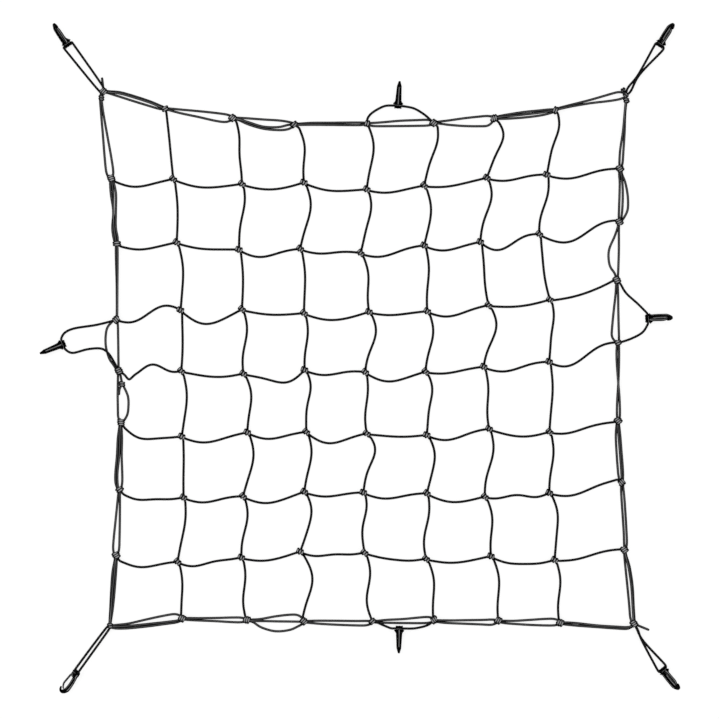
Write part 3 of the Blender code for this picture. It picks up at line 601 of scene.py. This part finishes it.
def winding(middle, turn, radii, bands, first, last):
    """Cord wound round an axis that lies turned across the sheet, by angle from its far side up.

    P(a) = M + b(a) X + k (r1 cos a Y + r2 sin a Z), with X the axis, Y square to it and b the place
    along it. The factor k = 1 - KNOT_TAPER (b / b_most)^2 draws the ends of the knot in.
    """
    angle = np.radians(np.linspace(first, last, round((last - first) / ANGLE_STEP) + 1))[:, None]
    place = np.interp(angle, *np.array(bands, float).T * ((np.pi / 180,), (BAND_WIDTH,)))
    taper = 1 - KNOT_TAPER * (place / np.abs(place).max()) ** 2
    axis = np.array((math.cos(turn), math.sin(turn), 0.0))
    square = np.array((-axis[1], axis[0], 0.0))
    return middle + place * axis + taper * (radii[0] * np.cos(angle) * square
                                            + radii[1] * np.sin(angle) * UP)


def net_knot(row, column):
    """The windings of an upright round a course."""
    turn = KNOT_TURN + KNOT_SWAY * math.sin(SWAY_BY_COURSE * row + SWAY_BY_UPRIGHT * column)
    middle = on_sheet(KNOTS[row][column], KNOT_MIDDLE)
    return winding(middle, turn, (WINDING_RADIUS, WINDING_RADIUS), BANDS,
                   FIRST_ANGLE, BANDS[-1][0] - FIRST_ANGLE)


OVER_KNOT = 1.2  # how high an upright climbs, with the knot's middle as 1
ABOVE_KNOT = (-0.4, 0.0)  # where an upright meets its knot, beside the middle
BELOW_KNOT = (1.4, 0.0)


def upright(number):
    """The path of a whole upright, from the far border to the near one."""
    path = net_path(KNOTS[:, number], UPRIGHT_STRAY[number], UPRIGHT_ENDS[number], (1, 0),
                    (BELOW_KNOT, ABOVE_KNOT), OVER_KNOT * (KNOT_MIDDLE - LAID_HEIGHT),
                    lambda row: net_knot(row, number))
    return softened(evenly(path, UPRIGHT_SPACING), 2)


ACROSS = np.array((1.0, 0.0, 0.0))
uprights = placed("net_uprights",
                  [cord(upright(number), ACROSS) for number in range(1, LAST)], net_cord)

# %% [markdown]
# ## The border
# The border's cords run side by side from knot to knot. How far out each lies is read off at five
# places: just beside either knot, at both quarters and in the middle. They leave one knot close
# together and part slowly, and the next knot gathers them in again all at once. Where its
# neighbours leave a cord no room, it rides on top.

# %% Cords of each border span, outermost first
BORDER = {
    "top": (
        ((1.9, 3.9, 3.9, 3.1, 1.8), (0.9, 2.5, 2.5, 1.8, 0.6), (-0.2, -0.5, -1.1, -1.5, -1.6)),
        ((1.0, 1.5, 2.3, 2.8, 2.7), (-1.0, -2.3, -3.5, -5.0, -4.8)),
        ((0.9, 1.4, 1.9, 2.6, 2.2), (-0.6, -2.3, -5.3, -4.1, -0.8), (-1.2, -4.4, -7.2, -7.1, -5.3)),
        ((1.0, 1.6, 1.4, 1.3, 1.1), (-0.4, -0.4, -0.8, -1.2, -1.4)),
        ((0.6, 1.3, 2.6, 3.1, 3.3), (-2.5, -2.7, -2.7, -2.6, -2.4)),
        ((1.1, 1.5, 2.5, 3.0, 3.0), (-1.0, -2.9, -5.2, -6.6, -6.6)),
        ((1.7, 2.2, 2.5, 2.0, 1.7), (0.5, 0.3, 0.0, -0.3, 0.0), (-1.1, -2.1, -3.0, -3.1, -2.2)),
        ((1.7, 2.2, 2.9, 4.2, 4.7), (0.4, 0.4, -0.3, -2.0, -2.5)),
    ),
    "right": (
        ((1.3, 1.1, 2.0, 2.3, 2.4), (0.5, 0.4, 0.2, -1.0, -0.8)),
        ((2.5, 5.6, 8.3, 8.6, 5.8), (1.3, 2.8, 3.4, 3.1, 2.4), (-0.5, 0.2, 0.1, -0.2, -0.4)),
        ((0.0, 0.4, 1.0, 1.2, 1.2), (-1.4, -3.8, -9.0, -7.6, -1.8)),
        ((1.0, 1.2, 1.1, 1.1, 1.2), (-0.8, -1.5, -3.6, -5.4, -5.9)),
        ((1.1, 1.1, 0.5, -0.7, -1.0), (-1.3, -1.2, 0.1, 1.7, 2.0)),
        ((1.0, 1.5, 1.8, 2.1, 1.9), (-0.6, -0.3, 0.0, 0.3, 0.3), (-1.9, -3.0, -3.2, -3.0, -2.6)),
        ((1.6, 2.3, 2.8, 3.1, 3.0), (-0.7, -0.6, -0.1, 0.3, 0.2)),
        ((1.3, 3.3, 3.7, 2.3, 1.4), (0.6, 2.0, 2.3, 1.1, 0.2), (-0.6, -1.0, -1.5, -2.1, -2.7)),
    ),
    "bottom": (
        ((3.6, 4.6, 4.6, 4.0, 3.5), (1.6, 2.2, 2.2, 2.0, 1.7), (0.0, -0.1, -2.4, -4.4, -4.9)),
        ((1.5, 1.8, 2.1, 2.7, 2.7), (-0.5, -0.5, -1.0, -1.8, -2.0)),
        ((2.0, 7.2, 10.8, 9.2, 5.4), (0.9, 0.9, 0.9, 0.7, 0.6), (-0.3, -1.1, -4.1, -6.1, -5.9)),
        ((1.7, 2.7, 3.6, 4.2, 4.1), (-0.4, -0.5, -0.4, -0.2, -0.3)),
        ((1.6, 2.0, 2.6, 3.1, 3.0), (-0.4, -1.0, -1.4, -2.5, -2.9)),
        ((2.6, 3.3, 3.8, 4.3, 4.5), (0.5, 0.6, 0.2, -0.2, -0.7)),
        ((2.5, 3.0, 3.4, 3.4, 3.0), (0.2, 0.0, -1.5, -3.1, -3.5)),
        ((1.9, 3.0, 4.1, 5.2, 5.4), (-0.3, 0.5, 2.3, 3.3, 3.7)),
    ),
    "left": (
        ((4.1, 4.5, 4.6, 4.8, 4.4), (2.6, 2.2, 0.3, -1.7, -2.6)),
        ((1.6, 1.8, 0.9, 3.3, 2.9), (-0.4, -0.6, 0.8, 1.6, 1.0), (-2.3, -3.3, -1.7, -0.2, -1.2)),
        ((1.1, 0.8, 0.1, -0.2, -0.3), (-0.7, -0.8, -0.8, -0.8, -0.8)),
        ((8.6, 11.2, 12.0, 9.2, 5.0), (-1.1, -0.9, -0.5, 0.0, 0.2)),
        ((1.3, 1.7, 2.4, 2.7, 2.8), (-1.6, -2.8, -7.9, -7.7, -6.0)),
        ((1.8, 3.0, 3.5, 4.7, 4.4), (0.6, 0.9, 1.2, 2.6, 2.3), (-0.6, -1.2, -1.2, -2.1, -2.3)),
        ((1.3, 1.8, 2.6, 3.4, 3.4), (-0.5, -1.0, -1.8, -2.4, -2.6)),
        ((1.1, 2.3, 2.1, 1.5, 1.2), (0.3, 0.2, 0.7, 0.6, 0.6), (-1.0, -1.2, -1.3, -1.0, -0.2)),
    ),
}
print("runs of border cord:", sum(len(cords) for side in BORDER.values() for cords in side))

# %% Border cords
# Name, knots in order and outward direction on the sheet of each side
SIDES = (
    ("top", KNOTS[0], (0, -1)),
    ("right", KNOTS[:, LAST], (1, 0)),
    ("bottom", KNOTS[LAST], (0, 1)),
    ("left", KNOTS[:, 0], (-1, 0)),
)
BORDER_END_MOST = 1.8  # most that a border cord is off the middle at its knot
BORDER_END_SHARE = 0.5  # of its first or last offset that is left at the knot
BESIDE_KNOT = 6.0  # sheet units from a knot at which that offset is read off
BORDER_SPACING = 2 * CORD_RADIUS + 0.0001
BORDER_RISE = 0.15  # share of a span over which the bundle climbs into its knot
BORDER_SAMPLES = 40
LIFT_GROWS = 10.0  # a cord without room is on top of the others within a tenth of the span


def border_offsets(cords, length, share):
    """How far out each cord of a span lies at shares of the way, as an array (cord, share)."""
    stations = (0, BESIDE_KNOT / length, 0.25, 0.5, 0.75, 1 - BESIDE_KNOT / length, 1)
    rows = []
    for offsets in cords:
        ends = np.clip(BORDER_END_SHARE * np.array((offsets[0], offsets[-1])),
                       -BORDER_END_MOST, BORDER_END_MOST)
        line = curved(np.stack([stations, (ends[0], *offsets, ends[1])], -1))
        rows.append(np.interp(share, line[:, 0], line[:, 1]))
    return np.array(rows)


def border_span(start, end, outward, cords):
    """Paths of all the cords of one span of the border."""
    share = np.linspace(0, 1, BORDER_SAMPLES)
    length = math.hypot(*(end - start))
    across = np.array((start[1] - end[1], end[0] - start[0])) / length
    across = across * np.sign(across @ np.array(outward))
    offsets = border_offsets(cords, length, share)
    near = np.clip(1 - np.minimum(share, 1 - share) / BORDER_RISE, 0, 1)
    height = LAID_HEIGHT + (KNOT_MIDDLE - LAID_HEIGHT) * near ** 2
    paths = []
    for place, offset in enumerate(offsets):
        lift = 0.0
        if place == 1:
            room = np.abs(np.delete(offsets, 1, 0) - offset).min(0) * UNIT
            lift = np.sqrt(np.clip(BORDER_SPACING**2 - room**2, 0, None)) * np.minimum(
                1, LIFT_GROWS * np.minimum(share, 1 - share))
        spots = start + (end - start) * share[:, None] + offset[:, None] * across
        paths.append(softened(evenly(on_sheet(spots, height + lift), COURSE_SPACING), 2))
    return paths


border_paths = [path for name, knots, outward in SIDES for place, cords in enumerate(BORDER[name])
                for path in border_span(knots[place], knots[place + 1], outward, cords)]
TAIL_RISE = 0.0015  # of a cut end halfway down from its knot
# Cut ends of cord: the points that each follows on the sheet
TAILS = (
    ((103.8, 91.8), (103.0, 85.0), (102.2, 78.6)),
    ((633.6, 623.3), (640.0, 626.2), (648.2, 629.6)),
    ((122.5, 383.9), (119.8, 388.8), (119.1, 394.0)),
)
TAIL_HEIGHTS = np.array((KNOT_MIDDLE, LAID_HEIGHT + TAIL_RISE, LAID_HEIGHT))
tails = [evenly(curved(on_sheet(spots, TAIL_HEIGHTS)), COURSE_SPACING) for spots in TAILS]
border = placed("border_cords", [cord(path) for path in border_paths + tails], border_cord)

# %% [markdown]
# Each border knot is a length of cord wound two or three times round the whole bundle, drawn flat
# and wide by the cords inside. The pull of the mesh turns most of them aside. Both ends of the cord
# are tucked under, where they don't show. A few corners have smaller lumps beside the knot.

# %% Border knots
BORDER_WINDING = (0.0054, 0.0042)  # half width and half height of the winding's path
# How it runs along its axis, by how many bands show on top, from one tucked end to the other
BORDER_BANDS = {2: ((-75, 0.95), (615, -0.95)), 3: ((-75, 1.3), (975, -1.3))}
# The border knots along each side: lean of the axis in degrees, bands on top, and size if not 1
BORDER_LOOKS = {
    "top": ((-20, 3), (-40, 2), (-28, 3), (-32, 2, 1.05), (-8, 2, 0.9),
            (-35, 3), (12, 3), (-24, 2, 1.05)),
    "right": ((-30, 2, 0.7), (40, 3), (35, 3), (32, 3), (30, 2, 0.9), (42, 3),
              (-45, 3), (35, 3)),
    "bottom": ((-26, 3), (-10, 3), (-36, 3), (-35, 2), (38, 3),
               (-20, 3), (-16, 3), (-50, 3, 0.95)),
    "left": ((20, 3), (10, 2, 1.1), (-45, 3), (30, 3), (4, 3, 0.95), (40, 2, 1.1),
             (38, 3), (20, 2, 0.75)),
}
# Second lumps beside a few border knots: x, y on the sheet, turn in degrees and size
SECOND_LUMPS = ((101.6, 98.2, -86, 0.7), (622.8, 90.6, 35, 0.55), (626.1, 100.6, -70, 0.75),
                (122.2, 383.9, -80, 0.8))


def border_knot(spot, turn, bands=2, size=1.0):
    """One knot of the border, wound round an axis turned across the sheet."""
    radii = [size * radius for radius in BORDER_WINDING]
    middle = on_sheet(spot, radii[1] + CORD_RADIUS + FLOOR_GAP)
    ends = BORDER_BANDS[bands]
    path = winding(middle, turn, radii, ends, ends[0][0], ends[-1][0])
    axis = np.array((math.cos(turn), math.sin(turn), 0.0))
    return cord(softened(evenly(path, UPRIGHT_SPACING), 1), axis)


border_knots = []
for name, knots, outward in SIDES:
    for place, spot in enumerate(knots[:-1] if name in ("top", "right") else knots[1:]):
        before, after = knots[max(place - 1, 0)], knots[min(place + 1, LAST)]
        run = math.atan2(before[1] - after[1], after[0] - before[0])
        lean, *build = BORDER_LOOKS[name][place]
        border_knots.append(border_knot(spot, run + math.radians(lean), *build))
border_knots += [border_knot((x, y), math.radians(turn), size=size)
                 for x, y, turn, size in SECOND_LUMPS]
border_lumps = placed("border_knots", border_knots, wound_cord)

# %% [markdown]
# ## Black nylon
# The hooks are one black nylon moulding. Handling drags fine streaks along its bars, so a group
# makes noise that is long one way and narrow the other, on the strip that each bar unrolls to. A
# painted highlight runs down the middle of each face, where gloss would catch the light, and the
# streaks break it up; the strip has one face in every quarter of its width. The highlight fades out
# where the nose begins. The gate has its own painted sheen, wider and duller.

# %% Nylon finish
BAR_SIDES = 28
BAR_FACES = 4.0
CREST_FADE = 0.15  # share of the painted highlight's length over which it fades out
streaks, given, result = new_group(
    "streaks", {"Strip": None, "Length": 0.010, "Width": 0.030, "Crest Width": 0.030,
                "Crest Length": 0.036}, ("Streaks", "Crest"))
strip = new_node(streaks, "SeparateXYZ", {0: given["Strip"]}).outputs
stretched = new_node(streaks, "CombineXYZ", {
    axis: reckon(streaks, "DIVIDE", strip[axis], given[size])
    for axis, size in (("X", "Length"), ("Y", "Width"))}).outputs["Vector"]
# How far it is to the middle of the nearest face, where the painted highlight runs, and how much of
# its length is left
face = reckon(streaks, "MULTIPLY", reckon(streaks, "ADD", strip["Y"], 0.5 / BAR_SIDES), BAR_FACES)
off_crest = reckon(streaks, "DIVIDE", reckon(streaks, "PINGPONG", face, 0.5), BAR_FACES)
crest = reckon(streaks, "SUBTRACT", 1.0, reckon(streaks, "DIVIDE", off_crest, given["Crest Width"]))
length_left = reckon(streaks, "SUBTRACT", given["Crest Length"], strip["X"])
share_left = reckon(streaks, "DIVIDE", length_left, given["Crest Length"])
fading = reckon(streaks, "DIVIDE", reckon(streaks, "MINIMUM", share_left, CREST_FADE), CREST_FADE)
# The crest is the mask of the painted highlight down the middle of each face
feed(streaks, result, {
    "Streaks": noise(streaks, stretched, 1.0, 2.0),
    "Crest": reckon(streaks, "MULTIPLY", *[reckon(streaks, "MAXIMUM", value, 0.0)
                                           for value in (crest, fading)])})
STREAKS, STREAKS_LEAST = 1.6, 0.1  # how much of a crest the streaks take up
STREAK_LOW, STREAK_HIGH = 0.2, 0.7  # amounts at which the nylon is black and its painted highlight palest
GRAIN_SIZE, GRAIN_HEIGHT = 0.0008, 0.00006
BLACK = (0.0008, 0.0008, 0.0009)


def nylon_finish(name, light, crest_width):
    """Moulded black nylon, with a painted highlight broken into streaks along the middle of each of
    its four faces.
    """
    made, tree, shader = finish(name)
    strip, place = on_piece(tree)
    streaks_and_highlight = new_node(tree, "Group", {"Strip": strip, "Crest Width": crest_width},
                    node_tree=streaks).outputs
    uneven = reckon(tree, "MULTIPLY_ADD", streaks_and_highlight["Streaks"], STREAKS, STREAKS_LEAST)
    colour = ramp(tree, reckon(tree, "MULTIPLY", uneven, streaks_and_highlight["Crest"]),
                  ((STREAK_LOW, BLACK), (STREAK_HIGH, light)))
    feed(tree, shader, {
        "Specular IOR Level": 0.005, "Base Color": colour,
        "Roughness": reckon(tree, "MULTIPLY_ADD", streaks_and_highlight["Streaks"], 0.3, 0.2),
        "Normal": bumped(tree, noise(tree, place, GRAIN_SIZE, 2.0), 0.3, GRAIN_HEIGHT)})
    return made


# The last colour is the painted highlight down each face of the hook's body
nylon = nylon_finish("moulded_nylon", (0.300, 0.300, 0.303), 0.008)
# The gate's painted sheen is wider and duller
gate_sheen_nylon = nylon_finish("gate_sheen_nylon", (0.200, 0.200, 0.203), 0.015)
print("finishes:", nylon.name, gate_sheen_nylon.name)

# %% [markdown]
# ## One snap hook
# Its own x runs from the middle of the eye to the tip, y towards the gate and z along the eye.
# Four bodies make it: the barrel that the cord passes through, the shoulder with its two ears, the
# spine that bends round into the nose, and the springy gate. Each is a section that changes along
# a path, so a short table of stations gives its whole shape. The section is a superellipse, close
# to a rectangle with rounded corners. A hollow down either side of the spine saves material, and
# the nose grows narrow towards its tip.

# %% Stations of the hook in millimetres: x, y, width along z, depth
SPINE = (
    (3.0, -2.5, 11.4, 3.9), (10.0, -2.3, 11.0, 4.5), (16.0, -2.2, 10.4, 4.9),
    (22.0, -1.8, 9.7, 5.3), (27.0, -1.1, 9.2, 5.8), (31.0, -0.3, 8.8, 6.6),
    (34.6, 1.0, 8.5, 6.9), (37.6, 3.3, 8.2, 6.6), (39.5, 6.3, 7.6, 6.2),
    (39.4, 9.2, 6.6, 5.2), (37.6, 11.6, 5.6, 3.6), (35.0, 12.7, 5.0, 2.4),
    (32.4, 12.9, 4.4, 1.7),
)
GATE = (
    (3.0, 4.6, 5.0, 2.2), (6.8, 7.3, 5.0, 2.1), (15.0, 9.4, 5.0, 2.0), (24.0, 11.4, 5.0, 1.9),
    (28.8, 10.7, 5.0, 1.8), (31.6, 9.3, 4.9, 1.7), (34.0, 7.9, 4.8, 1.6),
)
SHOULDER = (
    (2.5, 0.0, 16.4, 8.8), (3.0, 0.0, 17.6, 9.6), (3.8, 0.0, 17.2, 9.6), (5.4, -0.2, 14.0, 9.2),
    (7.2, -0.5, 11.8, 8.4), (8.8, -0.9, 10.8, 7.2),
)
# The barrel's outline, turned round z: distance from the eye's middle line and place along it
BARREL = (
    (2.6, -5.7), (2.9, -6.2), (4.7, -6.2), (5.2, -5.9), (5.2, -5.1), (4.8, -4.8), (4.7, -3.0),
    (4.7, -1.2), (5.1, -0.8), (5.1, 0.8), (4.7, 1.2), (4.7, 3.0), (4.8, 4.8), (5.2, 5.1),
    (5.2, 5.9), (4.7, 6.2), (2.9, 6.2), (2.6, 5.7), (2.6, 2.0), (2.6, -2.0),
)
MILLIMETRE = 0.001
print("stations:", len(SPINE), "in the spine and", len(GATE), "in the gate")

# %% Hook
HOOK_POWER = 7.0  # of the superellipse: 2 is round, more is squarer
SPINE_HOLLOW = 0.22  # how deep the hollow is, as a share of the width
HOLLOW_SHARE = 0.6  # of the depth that the hollow takes up
HOLLOW_POWER = 6  # how square its edges are
STATION_STEPS = 6  # points of the path from one station to the next
TIP_FROM, TIP_TO = 0.034, 0.0435  # along the hook, where the bend grows narrow towards the tip
TIP_TAPER = 0.6  # share of its width that it loses there


def moulded(stations, rounding, hollow=0.0):
    """A bar of the hook along its stations. At angle a the section is
    (w/2 |cos a|^(2/p), d/2 |sin a|^(2/p)) with its signs, and the width w is smaller by the
    hollow where the depth is near its middle."""
    table = curved(np.array(stations) * MILLIMETRE, STATION_STEPS)
    angle = 2 * np.pi * (np.arange(BAR_SIDES) + 0.5) / BAR_SIDES
    wide = np.sign(np.cos(angle)) * np.abs(np.cos(angle)) ** (2 / HOOK_POWER)
    deep = np.sign(np.sin(angle)) * np.abs(np.sin(angle)) ** (2 / HOOK_POWER)
    wide = wide * (1 - hollow * np.exp(-(deep / HOLLOW_SHARE) ** HOLLOW_POWER))
    section = np.stack([np.outer(table[:, 2] / 2, wide), np.outer(table[:, 3] / 2, deep)], -1)
    path = np.concatenate([table[:, :2], np.zeros((len(table), 1))], 1)
    bar = swept(path, UP, section, rounding)
    tip = np.clip((bar["points"][:, 0] - TIP_FROM) / (TIP_TO - TIP_FROM), 0, 1)
    bar["points"][:, 2] *= 1 - TIP_TAPER * tip
    return bar


def turned(outline):
    """A closed outline (r, z) turned round z: P(i, a) = (r_i cos a, r_i sin a, z_i)."""
    outline = np.array(outline) * MILLIMETRE
    angle = 2 * np.pi * np.arange(BAR_SIDES) / BAR_SIDES
    rows = np.stack([np.outer(outline[:, 0], np.cos(angle)), np.outer(outline[:, 0], np.sin(angle)),
                     np.broadcast_to(outline[:, 1:], (len(outline), BAR_SIDES))], -1)
    return shell(rows, along=outline[:, 1])


body_shells = [turned(BARREL), moulded(SHOULDER, 0.0005), moulded(SPINE, 0.0008, SPINE_HOLLOW)]
gate_shells = [moulded(GATE, 0.0006)]
hook_points = np.concatenate([each["points"] for each in body_shells + gate_shells])
print("hook, mm:", np.round((hook_points.max(0) - hook_points.min(0)) * 1000, 1))

# %% [markdown]
# ## The hooks in place and their loops
# A hook lies on its back with its gate up, or rolled over on its side. The loop that carries it
# leaves a knot, passes through the eye and comes back. Where the hook hangs at a corner, the cord
# turns sharply round both ends of the barrel.

# %% Where each hook lies and how its loop runs
# Eye and direction on the sheet, roll of the gate away from straight up, in degrees, with a plus
# where it leans to the right of the hook as seen from its eye, and whether the cord turns round
# the barrel's ends. A loop runs from a knot (course, upright) by its own points (x, y, height in
# cord diameters) to the eye, and back by more points to a knot.
Hook = namedtuple("Hook", "eye toward roll turns start out back end")
HOOKS = {
    "top": Hook(
        (398.0, 106.0), (1.6, -24.5), 0, False,
        (0, 4), ((367.6, 118.6, 2.0), (372.6, 112.6, 0.9), (384.0, 106.4, 0.9)),
        ((414.0, 108.6, 0.9), (424.0, 114.6, 1.4), (429.0, 119.0, 2.0)), (0, 5)),
    "left": Hook(
        (63.1, 344.2), (-21.9, 9.0), 0, False,
        (4, 0), ((114.6, 362.4, 2.0), (109.0, 353.6, 2.0), (101.5, 348.6, 1.2),
                           (88.0, 349.2, 0.6), (72.5, 353.0, 0.7)),
        ((64.8, 332.8, 0.8), (74.5, 328.4, 0.6), (95.0, 325.2, 0.6), (109.0, 322.0, 1.8)),
        (3, 0)),
    "right": Hook(
        (647.6, 318.6), (23.7, -2.6), 24, False,
        (3, 8), ((620.0, 283.8, 1.8), (626.0, 293.2, 0.7), (638.0, 304.2, 0.8)),
        ((642.6, 332.2, 0.8), (632.6, 338.0, 0.7), (622.6, 341.6, 1.8)), (4, 8)),
    "bottom": Hook(
        (399.2, 628.3), (-0.5, 25.2), 0, False,
        (8, 5), ((430.2, 623.2, 2.2), (424.6, 626.0, 1.4), (414.0, 628.2, 1.2)),
        ((391.0, 628.1, 1.2), (382.5, 624.6, 1.6), (376.0, 621.6, 2.2)), (8, 4)),
    "top_left": Hook(
        (67.6, 44.6), (-14.4, -19.6), 15, True,
        (0, 0), ((102.0, 85.0, 1.3),),
        ((98.8, 90.6, 1.3),), (0, 0)),
    "top_right": Hook(
        (659.9, 44.8), (11.4, -21.1), 22, True,
        (0, 8), ((627.8, 87.8, 1.3), (638.0, 75.0, 0.6)),
        ((639.2, 75.0, 2.0), (630.4, 91.6, 1.3)), (0, 8)),
    "bottom_right": Hook(
        (662.9, 669.8), (13.7, 19.6), -27, True,
        (8, 8), ((636.0, 627.6, 1.8), (643.0, 640.6, 0.6)),
        ((641.6, 640.4, 2.0), (637.4, 629.4, 2.4)), (8, 8)),
    "bottom_left": Hook(
        (76.6, 672.3), (-11.2, 21.1), 64, True,
        (8, 0), ((108.2, 630.6, 1.3),),
        ((105.4, 629.0, 1.3),), (8, 0)),
}
print("hooks:", ", ".join(HOOKS))

# %% Hooks and loops
EYE_X = -0.0002
EYE_HALF_LENGTH = 0.0062
LOOP_BEND = 0.0026  # radius at which the cord turns round the end of the eye
LOOP_LEAD = 0.0060  # length of cord that leads straight up to that turn
LOOP_ENTRY = 0.0030  # and straight into an eye where it doesn't turn
LOOP_SPACING = 0.0018


def hook_place(hook):
    """A hook's own axes, as the columns of a 3 x 3 array, and the place of its eye."""
    along = np.array((hook.toward[0], -hook.toward[1], 0.0))
    along /= np.linalg.norm(along)
    right = np.array((along[1], -along[0], 0.0))
    lean = math.radians(hook.roll)
    to_gate = UP * math.cos(lean) + right * math.sin(lean)
    axes = np.stack([along, to_gate, np.cross(along, to_gate)], 1)
    lowest = (hook_points @ axes.T)[:, 2].min()
    return axes, on_sheet(hook.eye, FLOOR_GAP - lowest)


def moved(shells, axes, eye):
    """The same shells with their own axes and origin laid onto these."""
    return [dict(each, points=each["points"] @ axes.T + eye) for each in shells]


def loop_path(hook, axes, eye):
    """The cord of one loop: out from a knot, through the eye of the hook and back to a knot."""
    def raised(points):
        points = np.array(points)
        return on_sheet(points[:, :2],
                        LAID_HEIGHT + 2 * CORD_RADIUS * np.clip(points[:, 2] - 0.5, 0, None))

    out, back = raised(hook.out), raised(hook.back)
    side = 1 if (out[-1] - eye) @ axes[:, 2] > 0 else -1
    if hook.turns:
        bend_x = EYE_X - LOOP_BEND
        turns = [(bend_x - LOOP_LEAD, EYE_HALF_LENGTH + LOOP_BEND)] + [
            (bend_x + LOOP_BEND * math.cos(angle), EYE_HALF_LENGTH + LOOP_BEND * math.sin(angle))
            for angle in (math.radians(90), math.radians(45), 0.0)]
    else:
        turns = [(EYE_X, EYE_HALF_LENGTH + LOOP_ENTRY), (EYE_X, EYE_HALF_LENGTH)]
    going_in = eye + np.array([(x, 0, side * z) for x, z in turns]) @ axes.T
    coming_out = eye + np.array([(x, 0, -side * z) for x, z in reversed(turns)]) @ axes.T
    ends = [on_sheet(KNOTS[knot], KNOT_MIDDLE)[None] for knot in (hook.start, hook.end)]
    route = np.concatenate([ends[0], out, going_in, coming_out, back, ends[1]])
    path = softened(evenly(curved(route), LOOP_SPACING), 3)
    path[:, 2] = np.maximum(path[:, 2], LAID_HEIGHT)
    return path


# Each piece with the solid that it stands for and its material slot
pieces = [(courses, "net", "cord"), (uprights, "net", "cord"),
          (border, "border", "border_cord"), (border_lumps, "border", "border_cord")]
for name, hook in HOOKS.items():
    axes, eye = hook_place(hook)
    body = placed("snap_hook_" + name, moved(body_shells, axes, eye), nylon)
    gate = placed("hook_gate_" + name, moved(gate_shells, axes, eye), gate_sheen_nylon)
    loop = placed("cord_loop_" + name, [cord(loop_path(hook, axes, eye), axes[:, 1])], loop_cord)
    pieces += [(body, "hook_" + name, "nylon"), (gate, "hook_" + name, "nylon"),
               (loop, "loop_" + name, "border_cord")]

# %% [markdown]
# ## What each piece stands for
# Every piece moves with the one body of the net, and stands for the solid that it was shaped on.
# The net and the border are each two pieces: their cords, and what is wound round them.

# %% Pieces and solids
for piece, node, slot in pieces:
    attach(piece, "root")
    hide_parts(node)
print("pieces that ride on the net:", len(pieces))

# %% [markdown]
# ## Surface, light and camera
# The net lies on a white table that is lit from below, in even light from all round, so it casts
# next to no shadow. A small softbox lightens what faces it a little. The camera looks straight
# down from high up.

# %% Surface and light
FLOOR_SIDE = 12.0
ROOM_LIGHT = 1.10  # strength of the even light from all round
TABLE_GLOW = 0.81  # of the panel that lights the surface from below
TABLE_SHADE = 0.2  # share of the room's light that the surface sends back
SOFTBOX_POWER = 12.0  # watts
SOFTBOX_SIDE = 0.6
SOFTBOX_PLACE = (-0.9, 1.1, 3.0)
SOFTBOX_LEAN = (math.radians(-20), math.radians(-17), 0)
WHITE = (1.0, 1.0, 1.0, 1.0)
ground = bpy.data.meshes.new("ground")
half = FLOOR_SIDE / 2
ground.from_pydata([(-half, -half, 0), (half, -half, 0), (half, half, 0), (-half, half, 0)],
                   [], [(0, 1, 2, 3)])
pale, tree, shader = finish("pale_surface")
feed(tree, shader, {"Base Color": (TABLE_SHADE, TABLE_SHADE, TABLE_SHADE, 1.0), "Roughness": 0.9,
                    "Specular IOR Level": 0.0, "Emission Color": WHITE,
                    "Emission Strength": TABLE_GLOW})
ground.materials.append(pale)
floor = in_scene("floor", ground)

sky = bpy.data.worlds.new("studio")
sky.use_nodes = True
feed(sky.node_tree, sky.node_tree.nodes["Background"].inputs,
     {"Color": WHITE, "Strength": ROOM_LIGHT})
bpy.context.scene.world = sky
lamp = bpy.data.lights.new("softbox", "AREA")
lamp.shape, lamp.size, lamp.energy = "SQUARE", SOFTBOX_SIDE, SOFTBOX_POWER
softbox = in_scene("softbox", lamp)
softbox.location, softbox.rotation_euler = SOFTBOX_PLACE, SOFTBOX_LEAN
bpy.context.scene.view_settings.view_transform = "Standard"
print("light from all round:", ROOM_LIGHT, "and a softbox of", SOFTBOX_POWER, "watts")

# %% Camera
SHEET_SIDE = 719.0  # sheet units that the view takes in
CAMERA_HEIGHT = 6.0
SENSOR = 36.0
lens = bpy.data.cameras.new("camera")
lens.sensor_width = SENSOR
lens.lens = SENSOR * CAMERA_HEIGHT / (SHEET_SIDE * UNIT)
lens.clip_end = 50.0
camera = in_scene("camera", lens)
camera.location = on_sheet((SHEET_SIDE / 2, SHEET_SIDE / 2), CAMERA_HEIGHT)
bpy.context.scene.camera = camera
print("lens, mm:", round(lens.lens, 1))
